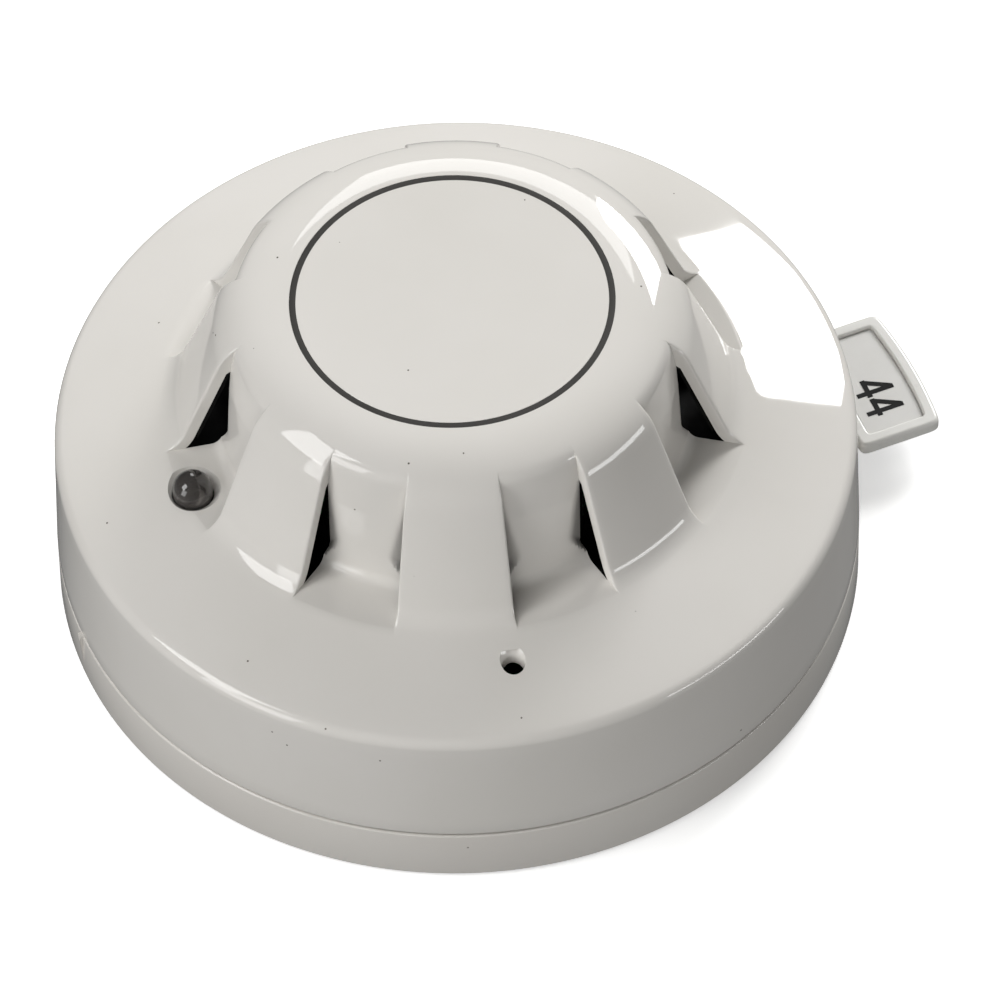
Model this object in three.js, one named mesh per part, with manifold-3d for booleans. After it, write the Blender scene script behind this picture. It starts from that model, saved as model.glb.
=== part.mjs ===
// Ceiling heat detector: a mounting base, a plug-in head and a slide-in address card.
// Millimetres and degrees. +Z runs from the ceiling into the room, +X along the address card.
import * as THREE from 'three';
import { mergeVertices } from 'three/addons/utils/BufferGeometryUtils.js';
import Module from 'manifold-3d';

const wasm = await Module();
wasm.setup();

// ---- Driving dimensions -------------------------------------------------------------------
const gap = 0.3;                    // clearance between neighbouring pieces
const bodyDiameter = 100;
const baseHeight = 8;               // back face to the split line
const headHeight = 42;              // split line to the top of the dome
const wall = 2;                     // base and cover mouldings
const roundSteps = 48;              // facets of a full turn on the large mouldings
const smallSteps = 12;              // facets of a full turn on pins, screws and holes
const bite = 0.5;                   // how far joined shapes of one moulding sink into each other
const beyond = 1;                   // how far a cutting body runs past the face that it opens

// Cover
const skirtDraft = 0.4;
const skirtHeight = 16.36;          // split line to the start of the rim rounding
const rimRadius = 1.7;
const flangeSlope = 20.5;
const hoodFootRadius = 34.74;       // where flange and hood slopes would meet
const crownRadius = 27.33;          // where the hoods' slope would meet the dome top
const hoodWall = 1.5;
const footFillet = 4.5;
const crownFlatRadius = 20.1;       // where the dome's shoulder starts to round over
const shoulderLength = 5.5;         // from the crown edge down the hoods' slope to the shoulder's end
const shoulderHandles = { flat: 4, steep: 3.5 };
const ringRadius = 19.5;
const ringWidth = 0.8;
const ringDepth = 0.5;
const splitBevel = 0.3;             // broken edge of the skirt at the split line
const hoodInsideFoot = { rise: 2, step: 0.4 }; // where the inside turns from the hoods to the flange

// Air ports in the cover
const portCount = 8;
const portHalfAngle = 10.6;
const portOuterRadius = 36.3;       // outer edge of the port floor, on the flange
const portWallFoot = 29.3;          // radius of the port's inner wall just above its floor
const portWallTop = 26.7;           // and where it reaches the dome
const portCreaseDrop = 8.5;         // dome top to the crease in the inner wall
const portCreaseRadius = 28.2;
const portCorner = 1.3;
const portSkin = 1.6;
const skinOverlap = 1.5;            // how far a port's skin runs on under the flange
const cheekAngle = 4;               // the inner wall turns in beside each opening, over this angle
const cheekDepth = 1.1;
const cheekHeight = 12.5;
const cheekTaper = 2;               // degrees over which a cheek fades into the port's wall
const cheekReach = 4;               // from the port's wall out to the end of a cheek's cut

// Indicator and locking screw
const ledRadius = 2.5;
const ledHoleRadius = 3.3;
const ledCentre = 34.8;             // from the axis, at 180 degrees
const ledFlange = 0.5;
const ledFlangeHeight = 1;
const ledSink = 0.1;                // centre of the lens's dome below the port floor
const ledClearance = 1.2;           // around the indicator in the shroud's brim
const spacerWall = 0.4;             // how much wider than the lens the spacer is
const lockInset = 9.7;              // body radius to the locking screw's axis
const lockAngle = -102.6;
const lockHoleRadius = 1.35;
const lockScrewRadius = 1.5;
const lockScrewLength = 8;
const hexSocket = { radius: 0.75, depth: 1.8 };
const lockBossWall = 1.4;

// Base
const floorThickness = 2;
const hubRadius = 9;                // solid centre of the base floor
const cableEntryWidth = 10;
const cableEntryInset = 1;          // from the hub out to the cable entries
const cableEntryStart = 100;
const cableEntryEnd = 172;
const fixingPitchMin = 51;          // hole centres that the two slots accept
const fixingPitchMax = 69;
const fixingSlotWidth = 4.2;
const fixingPad = { width: 10, margin: 3.5, height: 0.5 };
const markAngle = 178.7;
const markWidth = 1.2;
const markProud = 0.35;

// Bayonet
const lugAngles = [70, 190, 310];
const lugHalfAngle = 7;
const lugReach = 3;                 // from the base wall inwards
const lugThickness = 1.6;
const hookHalfAngle = 6;
const hookFoot = 2;
const hookLeg = 1.6;
const stopAngle = 2;
const twistAngle = 15;              // turn that frees the hooks from the lugs

// Terminals
const terminalAngles = [122, 151, 180, 209, 238];
const terminalInset = 10.4;         // bayonet hooks to the terminal screws
const pedestal = { length: 10, width: 9, height: 2.2 };
const clamp = { length: 7.5, width: 8, thickness: 0.8 };
const terminalScrew = { head: 2.6, headHeight: 1.3, shank: 1.5, slot: 0.6, slotDepth: 0.7 };
const strip = { thickness: 0.4, width: 4 };
const springReach = 13;             // terminal screw to the tip of its spring
const springCrest = 1.1;            // tip to the crest that rubs on the contact plate
const contact = { thickness: 0.5, halfAngle: 13, width: 5, pin: 0.8 };

// Address card
const cardAxisY = 1.2;              // the card lies beside the X axis
const paddle = { width: 19.3, reach: 12.8, clearance: 1.4, corner: 1.6 };
const cardWidth = 15.2;
const cardThickness = 2;
const cardLift = 1.4;               // base floor to the card's underside
const cardInner = 24.5;             // how far the card reaches inside the base wall
const windowRim = 1.7;
const windowDepth = 0.9;
const labelThickness = 0.25;
const addressPips = [0, 1, 0, 1, 1, 0, 0];      // 44 in binary, 64s first
const pipPitch = 2.15;
const pip = { size: 1.3, height: 1.2, inset: 3.5 };
const railWall = 1.2;
const railLip = 1;                  // how far a rail reaches over the card

// Head interior
const chassisThickness = 2;
const chassisLift = 0.5;            // split line to the chassis underside
const chassisWindow = 14;           // square opening under the board's test points
const buttonRadius = 0.55;
const buttonFlange = { radius: 0.95, thickness: 0.5 };
const buttonTravel = 1;
const boardGap = 3.5;               // chassis to circuit board
const boardThickness = 1.6;
const coverPost = { radius: 3, angles: [40, 160, 280], inset: 8 };
const coverScrew = { head: 2.4, headHeight: 1.2, shank: 1.2, length: 12 };
const boardPost = { radius: 2.6, angles: [60, 140, 300], inset: 6.8 };
const boardScrew = { head: 2, headHeight: 1.1, shank: 1, length: 4.5 };
const shroudWall = 1.2;
const shroudWindow = { lift: 1, halfAngle: 8 };
const shroudHeadroom = 3;           // under the dome
const processorChip = { x: 2, y: -9, length: 9, width: 9, height: 1.4 };
const driverChip = { x: 6, y: 10, length: 8, width: 5, height: 1.5 };
const capacitors = [
  { x: -12, y: 10, radius: 3.2, height: 7 },
  { x: -13, y: -9, radius: 2.5, height: 6 },
];
const canNeck = { from: 1, to: 1.8, depth: 0.3, bevel: 0.4 }; // a can's crimped groove and its rim
const bead = { radius: 1.4, length: 4, stem: 0.5 };
const brimClearance = 2.5;          // shroud brim to the cover's screw posts

// ---- Derived sizes ------------------------------------------------------------------------
const bodyRadius = bodyDiameter / 2;
const baseRim = baseHeight - gap / 2;
const skirtFoot = baseHeight + gap / 2;
const topZ = baseHeight + headHeight;
const boreRadius = bodyRadius - wall;
const skirtTop = baseHeight + skirtHeight;
const skirtRadius = bodyRadius - skirtDraft;
const rad = THREE.MathUtils.degToRad;
const flangeRise = Math.tan(rad(flangeSlope));
const rimEndRadius = skirtRadius - rimRadius * (1 - Math.sin(rad(flangeSlope)));
const rimEndZ = skirtTop + rimRadius * Math.cos(rad(flangeSlope));
const flangeZ = (radius) => rimEndZ + (rimEndRadius - radius) * flangeRise;
const hoodFootZ = flangeZ(hoodFootRadius);
const hoodSlope = THREE.MathUtils.radToDeg(Math.atan2(topZ - hoodFootZ, hoodFootRadius - crownRadius));
const hoodRadiusAt = (z) => hoodFootRadius - (z - hoodFootZ) / Math.tan(rad(hoodSlope));
const portFloor = flangeZ(portOuterRadius);
const portCrease = topZ - portCreaseDrop;
const portPitch = 360 / portCount;

const hookOuter = boreRadius - gap;
const hookInner = boreRadius - lugReach - gap - hookLeg;
const lugTop = baseRim;
const lugBottom = lugTop - lugThickness;
const hookFootTop = lugBottom - gap;
const terminalRadius = hookInner - terminalInset;
const pedestalTop = floorThickness + pedestal.height;
const stripTop = pedestalTop + gap + strip.thickness;
const clampTop = stripTop + gap + clamp.thickness;
const springTip = terminalRadius - springReach;

const cardBottom = floorThickness + cardLift;
const cardTop = cardBottom + cardThickness;
const pipTop = cardTop + pip.height;
const cardStart = bodyRadius - cardInner;
const paddleStart = bodyRadius + paddle.clearance;
const paddleRadius = bodyRadius + paddle.reach;
const pipX = cardStart + pip.inset;
const middlePip = (addressPips.length - 1) / 2;
const pipY = (i) => cardAxisY + (i - middlePip) * pipPitch;
const buttonBottom = pipTop + gap;

const chassisBottom = baseHeight + chassisLift;
const chassisTop = chassisBottom + chassisThickness;
const boardBottom = chassisTop + boardGap;
const boardTop = boardBottom + boardThickness;
const lockRadius = bodyRadius - lockInset;
const lockBore = lockScrewRadius + gap;
const lockBoss = lockBore + lockBossWall;
const boardRadius = lockRadius - lockBoss - gap;
const contactTop = chassisBottom - gap;
const contactBottom = contactTop - contact.thickness;
const contactRadius = springTip + springCrest;
const contactAngle = (angle) => angle - twistAngle / 2;
const coverPostRadius = bodyRadius - coverPost.inset;
const shroudRoof = topZ - wall - shroudHeadroom;
const portWallSlope = (portCreaseRadius - portWallTop) / portCreaseDrop;
const shroudRadius = portWallTop + (topZ - shroudRoof) * portWallSlope - portSkin - gap;
const brimRadius = coverPostRadius - coverPost.radius - brimClearance;
const underFlange = flangeZ(brimRadius) - wall / Math.cos(rad(flangeSlope));
const shroudBrimZ = Math.min(underFlange, portFloor - portSkin) - gap;
const boardPostRadius = boardRadius - boardPost.inset;

// ---- Solid helpers ------------------------------------------------------------------------
// A closed three.js geometry as a manifold solid, with its faces turned outwards.
function solid(geometry) {
  const bare = geometry.clone();
  bare.deleteAttribute('normal');
  bare.deleteAttribute('uv');
  const welded = mergeVertices(bare, 1e-4);
  const vertProperties = new Float32Array(welded.attributes.position.array);
  const kept = [];
  const index = welded.index.array;
  for (let i = 0; i < index.length; i += 3) {
    const [a, b, c] = [index[i], index[i + 1], index[i + 2]];
    if (a !== b && b !== c && c !== a) kept.push(a, b, c);
  }
  let volume = 0;
  const corner = (n) => new THREE.Vector3().fromArray(vertProperties, 3 * n);
  for (let i = 0; i < kept.length; i += 3) {
    volume += corner(kept[i]).dot(corner(kept[i + 1]).cross(corner(kept[i + 2])));
  }
  if (volume < 0) kept.reverse();
  return new wasm.Manifold(new wasm.Mesh({ numProp: 3, vertProperties, triVerts: new Uint32Array(kept) }));
}

function geometryOf(body) {
  const mesh = body.getMesh();
  const geometry = new THREE.BufferGeometry();
  geometry.setAttribute('position', new THREE.BufferAttribute(new Float32Array(mesh.vertProperties), 3));
  geometry.setIndex(new THREE.BufferAttribute(new Uint32Array(mesh.triVerts), 1));
  const flat = geometry.toNonIndexed();
  flat.computeVertexNormals();
  return flat;
}

// A ring or disc turned about +Z from [radius, height] points.
function turned(outline, steps = roundSteps) {
  const points = outline.map(([r, z]) => new THREE.Vector2(Math.max(r, 0), z));
  const [first, last] = [points[0], points[points.length - 1]];
  if (first.x > 0 || last.x > 0) points.push(first.clone());
  return solid(new THREE.LatheGeometry(points, steps).rotateX(Math.PI / 2));
}

function disc(radius, low, high, steps = smallSteps) {
  return turned([[0, low], [radius, low], [radius, high], [0, high]], steps);
}

// A flat outline in X and Y, raised from low to high.
function prism(outline, low, high) {
  const shape = new THREE.Shape(outline.map(([x, y]) => new THREE.Vector2(x, y)));
  const raised = new THREE.ExtrudeGeometry(shape, { depth: high - low, bevelEnabled: false });
  return solid(raised.translate(0, 0, low));
}

function block(x0, x1, y0, y1, low, high) {
  return prism([[x0, y0], [x1, y0], [x1, y1], [x0, y1]], low, high);
}

const at = (body, x, y, z = 0) => body.translate([x, y, z]);
const turn = (body, angle) => body.rotate([0, 0, angle]);
const polar = (radius, angle) => [radius * Math.cos(rad(angle)), radius * Math.sin(rad(angle))];
const atPolar = (body, radius, angle) => at(body, ...polar(radius, angle));
const joined = (bodies) => bodies.reduce((sum, body) => sum.add(body));

// The part of a turned ring between two angles.
function sector(outline, from, to, steps = roundSteps) {
  const radii = outline.map(([r]) => r);
  const heights = outline.map(([, z]) => z);
  const far = 2 * Math.max(...radii);
  const pie = [[0, 0], polar(far, from), polar(far, (from + to) / 2), polar(far, to)];
  const wedge = prism(pie, Math.min(...heights) - beyond, Math.max(...heights) + beyond);
  return turned(outline, steps).intersect(wedge);
}

const ringOutline = (inner, outer, low, high) => [[inner, low], [outer, low], [outer, high], [inner, high]];

// Points on an arc, both ends included.
function arc(centreR, centreZ, radius, from, to, steps) {
  const points = [];
  for (let i = 0; i <= steps; i += 1) {
    const [r, z] = polar(radius, from + ((to - from) * i) / steps);
    points.push([centreR + r, centreZ + z]);
  }
  return points;
}

// ---- Materials ----------------------------------------------------------------------------
const plastic = (color, roughness) => new THREE.MeshStandardMaterial({ color, roughness, metalness: 0 });
const metal = (color, roughness) => new THREE.MeshStandardMaterial({ color, roughness, metalness: 1 });
const material = {
  cover: plastic('#dbd8d0', 0.22),
  base: plastic('#d6d3cb', 0.28),
  chassis: plastic('#cfccc4', 0.4),
  shroud: plastic('#0c0b0a', 0.7),
  ring: plastic('#3c3a36', 0.5),
  card: plastic('#e2e0da', 0.35),
  label: plastic('#b9b7ad', 0.55),
  led: plastic('#4a4846', 0.08),
  board: plastic('#1f5a38', 0.45),
  chip: plastic('#1a1a1c', 0.5),
  button: plastic('#e8e6e0', 0.4),
  rubber: plastic('#3a3a3a', 0.8),
  capacitor: plastic('#22262e', 0.3),
  bead: plastic('#5a3a1c', 0.4),
  steel: metal('#b8b8b6', 0.35),
  bronze: metal('#b0824a', 0.35),
  zinc: metal('#a9aaa8', 0.4),
};

const detector = new THREE.Group();

function place(name, body, look) {
  const mesh = new THREE.Mesh(geometryOf(body), look);
  mesh.name = name;
  detector.add(mesh);
}

// ---- Base ---------------------------------------------------------------------------------
function cableEntry(from, to) {
  const inner = hubRadius + cableEntryInset;
  const outline = ringOutline(inner, inner + cableEntryWidth, -beyond, floorThickness + beyond);
  return sector(outline, from, to);
}

function fixingSlot(side) {
  const inner = side * fixingPitchMin / 2;
  const outer = side * fixingPitchMax / 2;
  const half = fixingSlotWidth / 2;
  const cutTop = floorThickness + beyond;
  const middle = block(-half, half, Math.min(inner, outer), Math.max(inner, outer), -beyond, cutTop);
  const end = disc(half, -beyond, cutTop);
  return joined([middle, at(end, 0, inner), at(end, 0, outer)]);
}

// The raised pad that a fixing screw's head bears on.
function fixingPadBody(side) {
  const near = side * (fixingPitchMin / 2 - fixingPad.margin);
  const far = side * (fixingPitchMax / 2 + fixingPad.margin);
  const half = fixingPad.width / 2;
  const low = floorThickness - bite;
  const high = floorThickness + fixingPad.height;
  return block(-half, half, Math.min(near, far), Math.max(near, far), low, high);
}

// A bayonet lug on the base wall, with the stop that ends the head's clockwise turn.
function baseLug(angle) {
  const lug = ringOutline(boreRadius - lugReach, boreRadius + bite, lugBottom, lugTop);
  const stop = ringOutline(boreRadius - lugReach, boreRadius + bite, floorThickness - bite, lugTop);
  const stopFrom = angle - lugHalfAngle - stopAngle;
  return sector(lug, angle - lugHalfAngle, angle + lugHalfAngle)
    .add(sector(stop, stopFrom, angle - lugHalfAngle));
}

function terminalPedestal(angle) {
  const halfLength = pedestal.length / 2;
  const halfWidth = pedestal.width / 2;
  const body = block(-halfLength, halfLength, -halfWidth, halfWidth, floorThickness - bite, pedestalTop);
  const pilot = disc(terminalScrew.shank + gap, floorThickness / 2, pedestalTop + beyond);
  return turn(at(body.subtract(pilot), terminalRadius, 0), angle);
}

// Two rails that lip over the card's long edges and guide it.
function cardRail(side) {
  const inner = cardWidth / 2 + gap;
  const outer = inner + railWall;
  const end = bodyRadius - lugReach - wall;
  const web = block(cardStart, end, inner, outer, floorThickness - bite, cardTop + gap + railWall);
  const lip = block(cardStart, end, inner - railLip, outer, cardTop + gap, cardTop + gap + railWall);
  const rail = web.add(lip);
  return at(side > 0 ? rail : rail.mirror([0, 1, 0]), 0, cardAxisY);
}

function baseMoulding() {
  const edge = 0.4;
  const shell = turned([
    [0, 0], [bodyRadius - edge, 0], [bodyRadius, edge], [bodyRadius, baseRim - edge],
    [bodyRadius - edge, baseRim], [boreRadius, baseRim], [boreRadius, floorThickness], [0, floorThickness],
  ]);
  const mark = ringOutline(bodyRadius - 1, bodyRadius + markProud, edge, baseRim - edge);
  const markSpread = THREE.MathUtils.radToDeg(markWidth / bodyRadius) / 2;
  const cardSide = cardWidth / 2 + gap;
  const slot = block(
    bodyRadius - 2 * wall, bodyRadius + wall, cardAxisY - cardSide, cardAxisY + cardSide,
    cardBottom - gap, pipTop + gap,
  );
  const joins = [
    fixingPadBody(1),
    fixingPadBody(-1),
    sector(mark, markAngle - markSpread, markAngle + markSpread),
    ...lugAngles.map(baseLug),
    ...terminalAngles.map(terminalPedestal),
    cardRail(1),
    cardRail(-1),
  ];
  const cuts = [
    cableEntry(cableEntryStart, cableEntryEnd),
    cableEntry(360 - cableEntryEnd, 360 - cableEntryStart),
    fixingSlot(1),
    fixingSlot(-1),
    slot,
  ];
  const lockNotch = atPolar(disc(lockBore, floorThickness / 2, floorThickness + 1), lockRadius, lockAngle);
  const pilots = terminalAngles.map((angle) => (
    atPolar(disc(terminalScrew.shank + gap, floorThickness / 2, pedestalTop), terminalRadius, angle)));
  return shell.add(joined(joins)).subtract(joined([...cuts, lockNotch, ...pilots]));
}

// ---- Terminals ----------------------------------------------------------------------------
// A spring strip seen from the side, as [radius, height] along its middle line.
function springOutline() {
  const foot = stripTop - strip.thickness / 2;
  const crest = contactBottom - gap - strip.thickness / 2;
  const crestHalf = 0.3;
  const line = [
    [terminalRadius + clamp.length / 2, foot],
    [terminalRadius - clamp.length / 2 - 1, foot],
    [springTip + 2 * springCrest, crest - strip.thickness],
    [springTip + springCrest + crestHalf, crest],
    [springTip + springCrest - crestHalf, crest],
    [springTip, crest - 2 * strip.thickness],
  ];
  const half = strip.thickness / 2;
  const side = (sign) => line.map(([r, z], i) => {
    const before = line[Math.max(i - 1, 0)];
    const after = line[Math.min(i + 1, line.length - 1)];
    const along = new THREE.Vector2(after[0] - before[0], after[1] - before[1]).normalize();
    return [r - sign * half * along.y, z + sign * half * along.x];
  });
  return [...side(1), ...side(-1).reverse()];
}

function contactSpring(angle) {
  const shape = new THREE.Shape(springOutline().map(([r, z]) => new THREE.Vector2(r, z)));
  const raised = new THREE.ExtrudeGeometry(shape, { depth: strip.width, bevelEnabled: false });
  raised.translate(0, 0, -strip.width / 2).rotateX(Math.PI / 2);
  const hole = at(disc(terminalScrew.shank + gap / 2, 0, topZ), terminalRadius, 0);
  const foot = block(
    terminalRadius - clamp.length / 2, terminalRadius + clamp.length / 2,
    -clamp.width / 2, clamp.width / 2, stripTop - strip.thickness, stripTop,
  );
  return turn(solid(raised).add(foot).subtract(hole), angle);
}

function terminalClamp(angle) {
  const plate = block(
    -clamp.length / 2, clamp.length / 2, -clamp.width / 2, clamp.width / 2,
    clampTop - clamp.thickness, clampTop,
  );
  const hole = disc(terminalScrew.shank + gap, 0, topZ);
  return turn(at(plate.subtract(hole), terminalRadius, 0), angle);
}

function terminalScrewBody(angle) {
  const seat = clampTop + gap;
  const crown = seat + terminalScrew.headHeight;
  const chamfer = 0.3;
  const outline = [
    [0, floorThickness / 2 + gap], [terminalScrew.shank, floorThickness / 2 + gap],
    [terminalScrew.shank, seat], [terminalScrew.head, seat], [terminalScrew.head, crown - chamfer],
    [terminalScrew.head - chamfer, crown], [0, crown],
  ];
  const half = terminalScrew.slot / 2;
  const reach = terminalScrew.head + beyond;
  const slot = block(-reach, reach, -half, half, crown - terminalScrew.slotDepth, crown + beyond);
  return atPolar(turn(turned(outline, smallSteps).subtract(slot), 2 * angle), terminalRadius, angle);
}

// ---- Address card -------------------------------------------------------------------------
function roundedRect(x0, x1, y0, y1, corner) {
  const turnAt = (x, y, from) => arc(x, y, corner, from, from + 90, 4);
  return [
    ...turnAt(x1 - corner, y1 - corner, 0), ...turnAt(x0 + corner, y1 - corner, 90),
    ...turnAt(x0 + corner, y0 + corner, 180), ...turnAt(x1 - corner, y0 + corner, 270),
  ];
}

// The paddle outside the wall: straight sides and an outer edge concentric with the body.
function paddleBody(inset, low, high, corner) {
  const half = paddle.width / 2 - inset;
  const box = prism(
    roundedRect(paddleStart + inset, paddleRadius - inset, cardAxisY - half, cardAxisY + half, corner),
    low, high,
  );
  return box.intersect(disc(paddleRadius - inset, low - beyond, high + beyond, 2 * roundSteps));
}

function addressCard() {
  const half = cardWidth / 2;
  const tongueEnd = paddleStart + paddle.corner;
  const tongue = block(cardStart, tongueEnd, cardAxisY - half, cardAxisY + half, cardBottom, cardTop);
  const frame = paddleBody(0, cardBottom, cardTop, paddle.corner);
  const window = paddleBody(windowRim, cardTop - windowDepth, cardTop + beyond, paddle.corner / 2);
  const pips = addressPips.flatMap((present, i) => {
    const y = pipY(i);
    const side = pip.size / 2;
    return present ? [block(pipX - side, pipX + side, y - side, y + side, cardTop - bite, pipTop)] : [];
  });
  return joined([tongue, frame, ...pips]).subtract(window);
}

function numberLabel() {
  const low = cardTop - windowDepth + gap / 2;
  return paddleBody(windowRim + gap, low, low + labelThickness, paddle.corner / 2);
}

// ---- Head: cover --------------------------------------------------------------------------
// The dome's shoulder, up from the hoods to the flat top: the outside, or a curve one wall inside it.
function shoulderCurve(steepWall, flatWall, steps) {
  const steep = rad(hoodSlope);
  const up = new THREE.Vector2(-Math.cos(steep), Math.sin(steep));
  const inwards = new THREE.Vector2(-Math.sin(steep), -Math.cos(steep));
  const foot = new THREE.Vector2(crownRadius, topZ)
    .addScaledVector(up, -shoulderLength)
    .addScaledVector(inwards, steepWall);
  const shrink = 1 - flatWall / crownFlatRadius;
  return new THREE.CubicBezierCurve(
    foot,
    foot.clone().addScaledVector(up, shoulderHandles.steep * shrink),
    new THREE.Vector2((crownFlatRadius + shoulderHandles.flat) * shrink, topZ - flatWall),
    new THREE.Vector2(crownFlatRadius * shrink, topZ - flatWall),
  ).getPoints(steps).map((point) => [point.x, point.y]);
}

// The outside of the cover above its skirt, from the rim up and in to the axis.
function coverOutside() {
  const turnAngle = (hoodSlope - flangeSlope) / 2;
  const tangent = footFillet * Math.tan(rad(turnAngle));
  const foot = [
    hoodFootRadius + tangent * Math.cos(rad(flangeSlope)),
    hoodFootZ - tangent * Math.sin(rad(flangeSlope)),
  ];
  const filletCentre = [
    foot[0] + footFillet * Math.sin(rad(flangeSlope)),
    foot[1] + footFillet * Math.cos(rad(flangeSlope)),
  ];
  const fillet = arc(...filletCentre, footFillet, 270 - flangeSlope, 270 - hoodSlope, 3);
  return [
    [bodyRadius - splitBevel, skirtFoot], [bodyRadius, skirtFoot + splitBevel], [skirtRadius, skirtTop],
    ...arc(skirtRadius - rimRadius, skirtTop, rimRadius, 0, 90 - flangeSlope, 3).slice(1),
    ...fillet, ...shoulderCurve(0, 0, 6), [0, topZ],
  ];
}

// The inside of the same shell: a hood wall thick under the hoods and a full wall elsewhere.
function coverInside() {
  const slant = wall / Math.cos(rad(flangeSlope));
  const hood = hoodWall / Math.sin(rad(hoodSlope));
  const meetZ = flangeZ(hoodFootRadius) - slant;
  const insideAt = (z) => hoodRadiusAt(z) - hood;
  const footTop = portFloor + hoodInsideFoot.rise;
  const rimInside = rimEndRadius - rimRadius / 2;
  return [
    [0, topZ - wall], ...shoulderCurve(hoodWall, wall, 4).reverse(),
    [insideAt(footTop), footTop], [insideAt(meetZ) + hoodInsideFoot.step, meetZ],
    [rimInside, flangeZ(rimInside) - slant], [boreRadius - gap, skirtTop - beyond],
    [boreRadius, skirtFoot],
  ];
}

// The port's inner wall and floor as [radius, height], from the dome out to the flange.
function portLine(offset) {
  const centre = [portWallFoot + portCorner, portFloor + portCorner];
  return [
    [portWallTop - offset, topZ - offset * portWallSlope],
    [portCreaseRadius - offset, portCrease],
    ...arc(...centre, portCorner + offset, 180, 270, 4),
    [portOuterRadius + (offset > 0 ? skinOverlap : 0), portFloor - offset],
  ];
}

function portCut(angle) {
  const outline = [
    [portWallTop, topZ + beyond], ...portLine(0), [bodyRadius, portFloor], [bodyRadius, topZ + beyond],
  ];
  return sector(outline, angle - portHalfAngle, angle + portHalfAngle);
}

function portSkinBody(angle) {
  const outline = [...portLine(0), ...portLine(portSkin).reverse()];
  return sector(outline, angle - portHalfAngle, angle + portHalfAngle);
}

// The space that the cover's outside surface encloses; the port skins end at it.
function coverSpace() {
  return turned([[0, skirtFoot], ...coverOutside()]);
}

// Beside each opening the port's inner wall turns in towards the axis.
function cheekCut(angle, side) {
  const edge = polar(portWallFoot - cheekDepth, side * portHalfAngle);
  const start = polar(portWallFoot, side * (portHalfAngle - cheekAngle - cheekTaper));
  const far = polar(portWallFoot + cheekReach, side * portHalfAngle);
  const low = portFloor + portCorner;
  const body = prism([start, edge, far], low, portFloor + cheekHeight);
  return turn(body, angle);
}

function coverPostBody(angle) {
  const top = flangeZ(coverPostRadius) - wall / 2;
  const post = disc(coverPost.radius, chassisTop + gap, top);
  return atPolar(post, coverPostRadius, angle);
}

function outerCover() {
  const shell = turned([...coverOutside(), ...coverInside()]);
  const angles = Array.from({ length: portCount }, (_, i) => i * portPitch);
  const pilotTop = chassisTop + coverScrew.length + gap;
  const pilots = coverPost.angles.map((angle) => (
    atPolar(disc(coverScrew.shank + gap, 0, pilotTop), coverPostRadius, angle)));
  const posts = joined(coverPost.angles.map(coverPostBody)).subtract(joined(pilots));
  const ported = shell.subtract(joined(angles.map(portCut)))
    .add(joined(angles.map(portSkinBody)).intersect(coverSpace()))
    .subtract(joined(angles.flatMap((angle) => [cheekCut(angle, 1), cheekCut(angle, -1)])));
  const half = ringWidth / 2 + gap;
  const grooveFloor = topZ - ringDepth - gap;
  const groove = turned(ringOutline(ringRadius - half, ringRadius + half, grooveFloor, topZ + beyond));
  const ledHole = at(disc(ledHoleRadius, boardTop, topZ, 2 * smallSteps), -ledCentre, 0);
  const lockHole = atPolar(disc(lockHoleRadius, boardTop, topZ), lockRadius, lockAngle);
  return ported.add(posts).subtract(joined([groove, ledHole, lockHole]));
}

function ringInlay() {
  const half = ringWidth / 2;
  return turned(ringOutline(ringRadius - half, ringRadius + half, topZ - ringDepth, topZ));
}

// ---- Head: chassis and electronics --------------------------------------------------------
function bayonetHook(angle) {
  const leg = ringOutline(hookInner, hookInner + hookLeg, hookFootTop - hookFoot, chassisBottom + bite);
  const foot = ringOutline(hookInner, hookOuter, hookFootTop - hookFoot, hookFootTop);
  return sector(leg, angle - hookHalfAngle, angle + hookHalfAngle)
    .add(sector(foot, angle - hookHalfAngle, angle + hookHalfAngle));
}

function headChassis() {
  const plate = disc(boreRadius - gap, chassisBottom, chassisTop, roundSteps);
  const lockBossBody = atPolar(
    disc(lockBoss, chassisTop - bite, chassisBottom + lockScrewLength, smallSteps), lockRadius, lockAngle);
  const standoffs = boardPost.angles.map((angle) => (
    atPolar(disc(boardPost.radius, chassisTop - bite, boardBottom - gap), boardPostRadius, angle)));
  const halfWindow = chassisWindow / 2;
  const holes = [
    block(-halfWindow, halfWindow, -halfWindow, halfWindow, 0, topZ),
    atPolar(disc(lockBore, 0, topZ), lockRadius, lockAngle),
    ...boardPost.angles.map((angle) => (
      atPolar(disc(boardScrew.shank + gap, chassisTop - beyond, topZ), boardPostRadius, angle))),
    ...coverPost.angles.map((angle) => (
      atPolar(disc(coverScrew.shank + gap, 0, topZ), coverPostRadius, angle))),
    ...addressPips.map((_, i) => at(disc(buttonRadius + gap, 0, topZ, 12), pipX, pipY(i))),
    ...terminalAngles.map((angle) => (
      atPolar(disc(contact.pin + gap, 0, topZ), contactRadius, contactAngle(angle)))),
  ];
  return joined([plate, lockBossBody, ...standoffs, ...lugAngles.map(bayonetHook)]).subtract(joined(holes));
}

function contactPlate(angle) {
  const half = contact.width / 2;
  const middle = contactAngle(angle);
  const outline = ringOutline(contactRadius - half, contactRadius + half, contactBottom, contactTop);
  const plate = sector(outline, middle - contact.halfAngle, middle + contact.halfAngle);
  const pin = disc(contact.pin, contactTop - contact.thickness / 2, boardBottom - gap);
  return plate.add(atPolar(pin, contactRadius, middle));
}

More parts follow.
